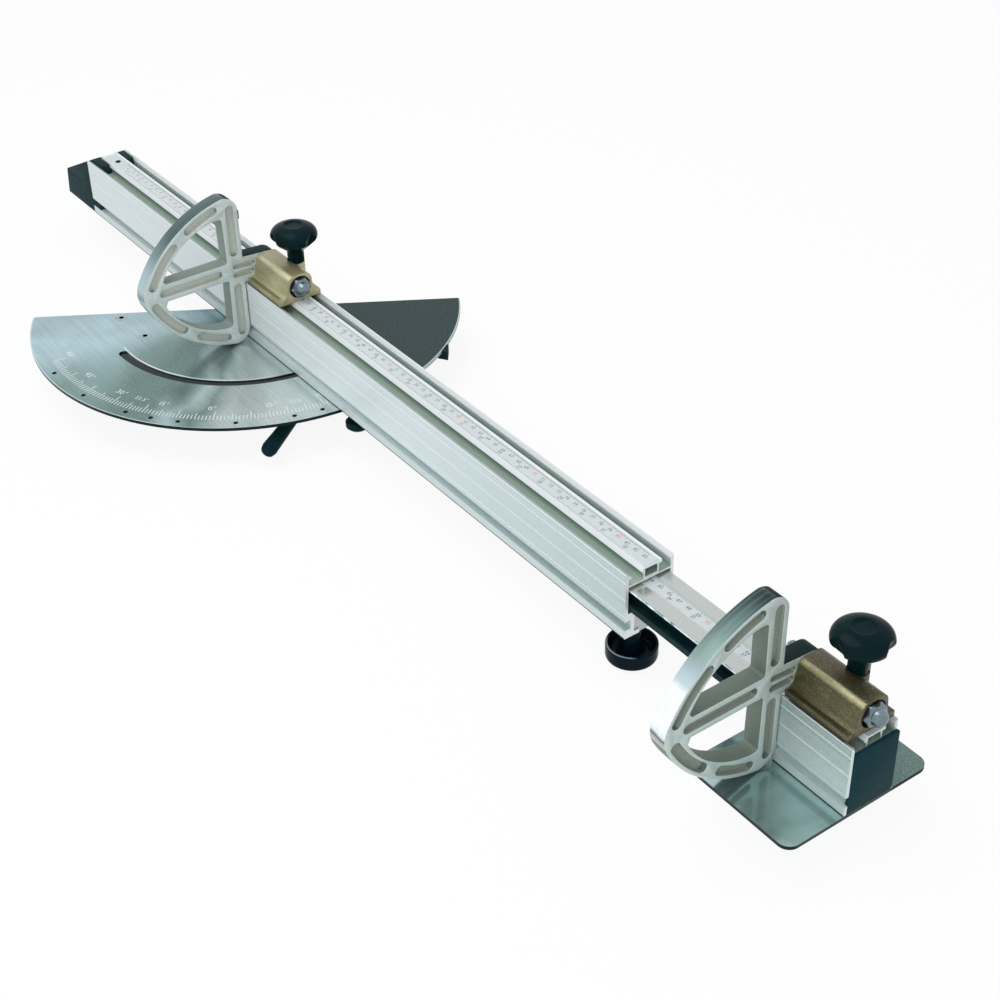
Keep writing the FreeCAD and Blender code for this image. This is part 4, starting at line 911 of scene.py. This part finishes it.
class Print:
    """Marks and numbers of one body, gathered into one mesh."""

    def __init__(self, name, materials):
        self.name = name
        self.materials = materials
        self.work = bmesh.new()

    def lay(self, mesh, matrix, material):
        first = len(self.work.faces)
        start = len(self.work.verts)
        self.work.from_mesh(mesh)
        self.work.verts.ensure_lookup_table()
        self.work.faces.ensure_lookup_table()
        bmesh.ops.transform(self.work, matrix=matrix, verts=self.work.verts[start:])
        for face in self.work.faces[first:]:
            face.material_index = material

    def number(self, text, middle, turn, height, material):
        """Writes text centred on a point, its up direction turned about Z by an angle."""
        thickness = 0.03 * mm
        total = sum(glyph(c)[1] for c in text)
        at = -total / 2.0
        for c in text:
            place = (Matrix.Translation(middle) @ Matrix.Rotation(turn, 4, "Z")
                     @ Matrix.Diagonal((height * 0.92, height, thickness / glyph_thickness, 1.0))
                     @ Matrix.Translation((at, -0.5, 0.0)))
            self.lay(glyph(c)[0], place, material)
            at += glyph(c)[1]

    def piece(self, body, slot):
        bmesh.ops.recalc_face_normals(self.work, faces=self.work.faces)
        mesh = bpy.data.meshes.new(self.name)
        self.work.to_mesh(mesh)
        self.work.free()
        for material in self.materials:
            mesh.materials.append(material)
        piece = placed(self.name, mesh)
        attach(piece, body)
        print(self.name, "faces:", len(mesh.polygons))


# %% [markdown]
# The degree scale is engraved near the rim of the plate, zero where the beam stands square. It
# counts up both ways, with a mark for each degree and a number at the common miter angles.

# %% Degree scale
zero_at = -38.6
scale_top = 3.0 * mm
mark_radius, number_radius = 187.4 * mm, 169.0 * mm
degree_tree = mark_tree("degree_marks", mark_pale, round_pivot=True)
degree_print = Print("degree_scale", [mark_pale])
degree_print.lay(marks("degrees", degree_tree, count=106, first=zero_at - 60.0, step=1.0, edge=mark_radius,
                       reach=-1.0, level=scale_top, short=6.4 * mm, middle=9.2 * mm, long=12.4 * mm,
                       width=0.75 * mm, height=0.08 * mm, middle_every=5, long_every=10),
                 Matrix.Identity(4), 0)
for away in (0.0, -15.0, -22.5, -30.0, -45.0, -60.0, 15.0, 22.5, 30.0, 45.0):
    text = f"{abs(away):g}"
    angle = math.radians(zero_at + away - (1.2 if away <= 0 else -1.0))
    size = 4.4 * mm if len(text) > 2 else 6.0 * mm
    middle = Vector((number_radius * math.cos(angle), number_radius * math.sin(angle), scale_top))
    degree_print.number(text + "°", middle, angle + math.pi / 2.0, size, 0)
degree_print.piece("plate", "scale_white")


# %% [markdown]
# The rules on the beam and on the bar are printed tapes: millimetres and black centimetre numbers
# along the far edge, with each tenth in red, and inches along the near edge. Both tapes read from
# the same zero near the far end of the beam.

# %% Printed rules
rule_tree = mark_tree("rule_marks", mark_black, round_pivot=False)
rule_zero = -255.0


def printed_rule(name, tape, body, first_x, last_x):
    """Two rows: a unit, its parts, which numbers are red, an edge, a direction, lengths in mm."""
    low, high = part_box(tape)
    rule = Print(name, [mark_black, mark_red])
    for row, unit, parts, red, edge, reach, lengths, number_in in (
            ("_mm", 10.0, 10, 10, high[1] - 0.5 * mm, -1.0, (1.3, 2.0, 2.7), 4.6),
            ("_in", 25.4, 16, 12, low[1] + 0.4 * mm, 1.0, (1.0, 1.6, 2.4), 3.9)):
        start = math.ceil((first_x - rule_zero) / unit)
        end = math.floor((last_x - rule_zero) / unit)
        short, middle, long = (length * mm for length in lengths)
        rule.lay(marks(name + row, rule_tree, count=(end - start) * parts + 1,
                       first=(rule_zero + start * unit) * mm, step=unit / parts * mm, edge=edge,
                       reach=reach, level=high[2], short=short, middle=middle, long=long,
                       width=0.22 * mm, height=0.06 * mm, middle_every=parts // 2, long_every=parts),
                 Matrix.Identity(4), 0)
        for number in range(max(1, start), end + 1):
            x = rule_zero + number * unit
            if first_x + 3.0 < x < last_x - 3.0:
                middle_point = Vector((x * mm, edge + reach * number_in * mm, high[2]))
                rule.number(str(number), middle_point, 0.0, 3.1 * mm, 1 if number % red == 0 else 0)
    rule.piece(body, "scale_white")


printed_rule("beam_rule", "beam_tape", "beam", -250.0, 583.0)
printed_rule("extension_rule", "extension_tape", "extension", 303.0, 757.0)


# %% [markdown]
# ## The studio
# The tool stands on a pale floor, on its handwheel, under a wide soft lamp and a weaker one from the
# camera's side. The metal doesn't mirror the weaker one, or the plate would vanish into white when
# it is seen from behind. The world and the floor are white for what the camera and the metal see.
# The floor keeps a faint share of its own shading. A dark patch of painted shadow lies deep under the
# plate, so that the curved slot shows a dark gap as it does over a real machine table.

# %% Floor
floor_height = -35.5 * mm
floor_mesh = bpy.data.meshes.new("floor")
work = bmesh.new()
bmesh.ops.create_grid(work, x_segments=1, y_segments=1, size=12.0)
work.to_mesh(floor_mesh)
work.free()
floor_mesh.transform(Matrix.Translation((0.2, 0.0, floor_height)))
floor = placed("floor", floor_mesh)


def white_to_camera(tree, shader, out, share=1.0):
    """Mixes plain white over the shader for camera, glossy and transmission rays."""
    path = tree.nodes.new("ShaderNodeLightPath").outputs
    seen = calculate(tree, "MAXIMUM", path["Is Camera Ray"], path["Is Glossy Ray"])
    seen = calculate(tree, "MAXIMUM", seen, path["Is Transmission Ray"])
    glow = tree.nodes.new("ShaderNodeBackground" if out.type == "OUTPUT_WORLD" else "ShaderNodeEmission")
    white = feed(tree, glow, (1.0, 1.0, 1.0, 1.0), 1.0)
    part = calculate(tree, "MULTIPLY", seen, share)
    mix = feed(tree, tree.nodes.new("ShaderNodeMixShader"), part, shader, white)
    tree.links.new(mix, out.inputs["Surface"])


def floor_paper():
    """Pale paper, with a painted shadow under the plate. The dark patch ends well inside the plate's rim
    and the plate's straight edge.
    """
    finish = Finish("pale_floor", (250, 250, 250), roughness=0.9)
    finish.paint(finish.span(finish.grain(30.0), 0.3, 0.7), shade(finish.colour, 0.98), 0.3)
    off_chord = finish.math("SUBTRACT", finish.math("MULTIPLY", finish.axis("X"), 0.78),
                            finish.math("MULTIPLY", finish.axis("Y"), 0.62))
    painted_shadow_patch = finish.both(finish.below(finish.from_pivot(), 125.0, 142.0),
                          finish.above(off_chord, -35.0, -20.0))
    # Painted shadow: the floor deep under the plate is dark.
    finish.paint(painted_shadow_patch, (14, 60, 64))
    share = finish.span(painted_shadow_patch, 0.0, 1.0, 0.9, 0.04)
    white_to_camera(finish.tree, finish.shader.outputs[0], finish.tree.nodes["Material Output"], share)
    return finish.done()


floor_mesh.materials.append(floor_paper())


# %% World and lamps
world = bpy.data.worlds.new("studio")
bpy.context.scene.world = world
world.use_nodes = True
sky = world.node_tree.nodes["Background"]
sky.inputs["Color"].default_value = (0.96, 0.99, 1.0, 1.0)
sky.inputs["Strength"].default_value = 0.62
white_to_camera(world.node_tree, sky.outputs[0], world.node_tree.nodes["World Output"])


def lamp(name, place, target, size, power):
    data = bpy.data.lights.new(name, "AREA")
    data.energy = power
    data.shape = "RECTANGLE"
    data.size, data.size_y = size
    lit = placed(name, data)
    aim = Vector(target) - Vector(place)
    lit.matrix_world = Matrix.Translation(place) @ aim.to_track_quat("-Z", "Y").to_matrix().to_4x4()
    return lit


lamp("overhead", (0.1, -0.5, 1.7), (0.25, 0.0, 0.0), (1.6, 1.2), 13.0)
fill = lamp("camera_side", (1.6, -1.6, 1.1), (0.3, 0.0, 0.0), (1.0, 1.0), 11.0)
fill.visible_glossy = False


# %% [markdown]
# ## The camera
# Its place and turn come from matching known points of the tool with where they lie in the
# picture: it stands near the telescope end, looks down by 36 degrees, and leans by one.

# %% Camera
yaw, pitch, roll = math.radians(144.509), math.radians(35.670), math.radians(-1.165)
forward = Vector((math.cos(yaw) * math.cos(pitch), math.sin(yaw) * math.cos(pitch), -math.sin(pitch)))
right = Vector((math.sin(yaw), -math.cos(yaw), 0.0))
up = right.cross(forward)
right_r = math.cos(roll) * right + math.sin(roll) * up
up_r = -math.sin(roll) * right + math.cos(roll) * up
eye = Matrix.Identity(4)
for row in range(3):
    eye[row][0], eye[row][1], eye[row][2] = right_r[row], up_r[row], -forward[row]
eye.translation = Vector((1.33425, -0.66378, 0.83463))
camera_data = bpy.data.cameras.new("camera")
camera_data.sensor_width = 36.0
camera_data.lens = 64.29
camera = placed("camera", camera_data)
camera.matrix_world = eye
bpy.context.scene.camera = camera
bpy.context.scene.view_settings.view_transform = "Standard"
print("lens:", round(camera_data.lens, 2), "mm")
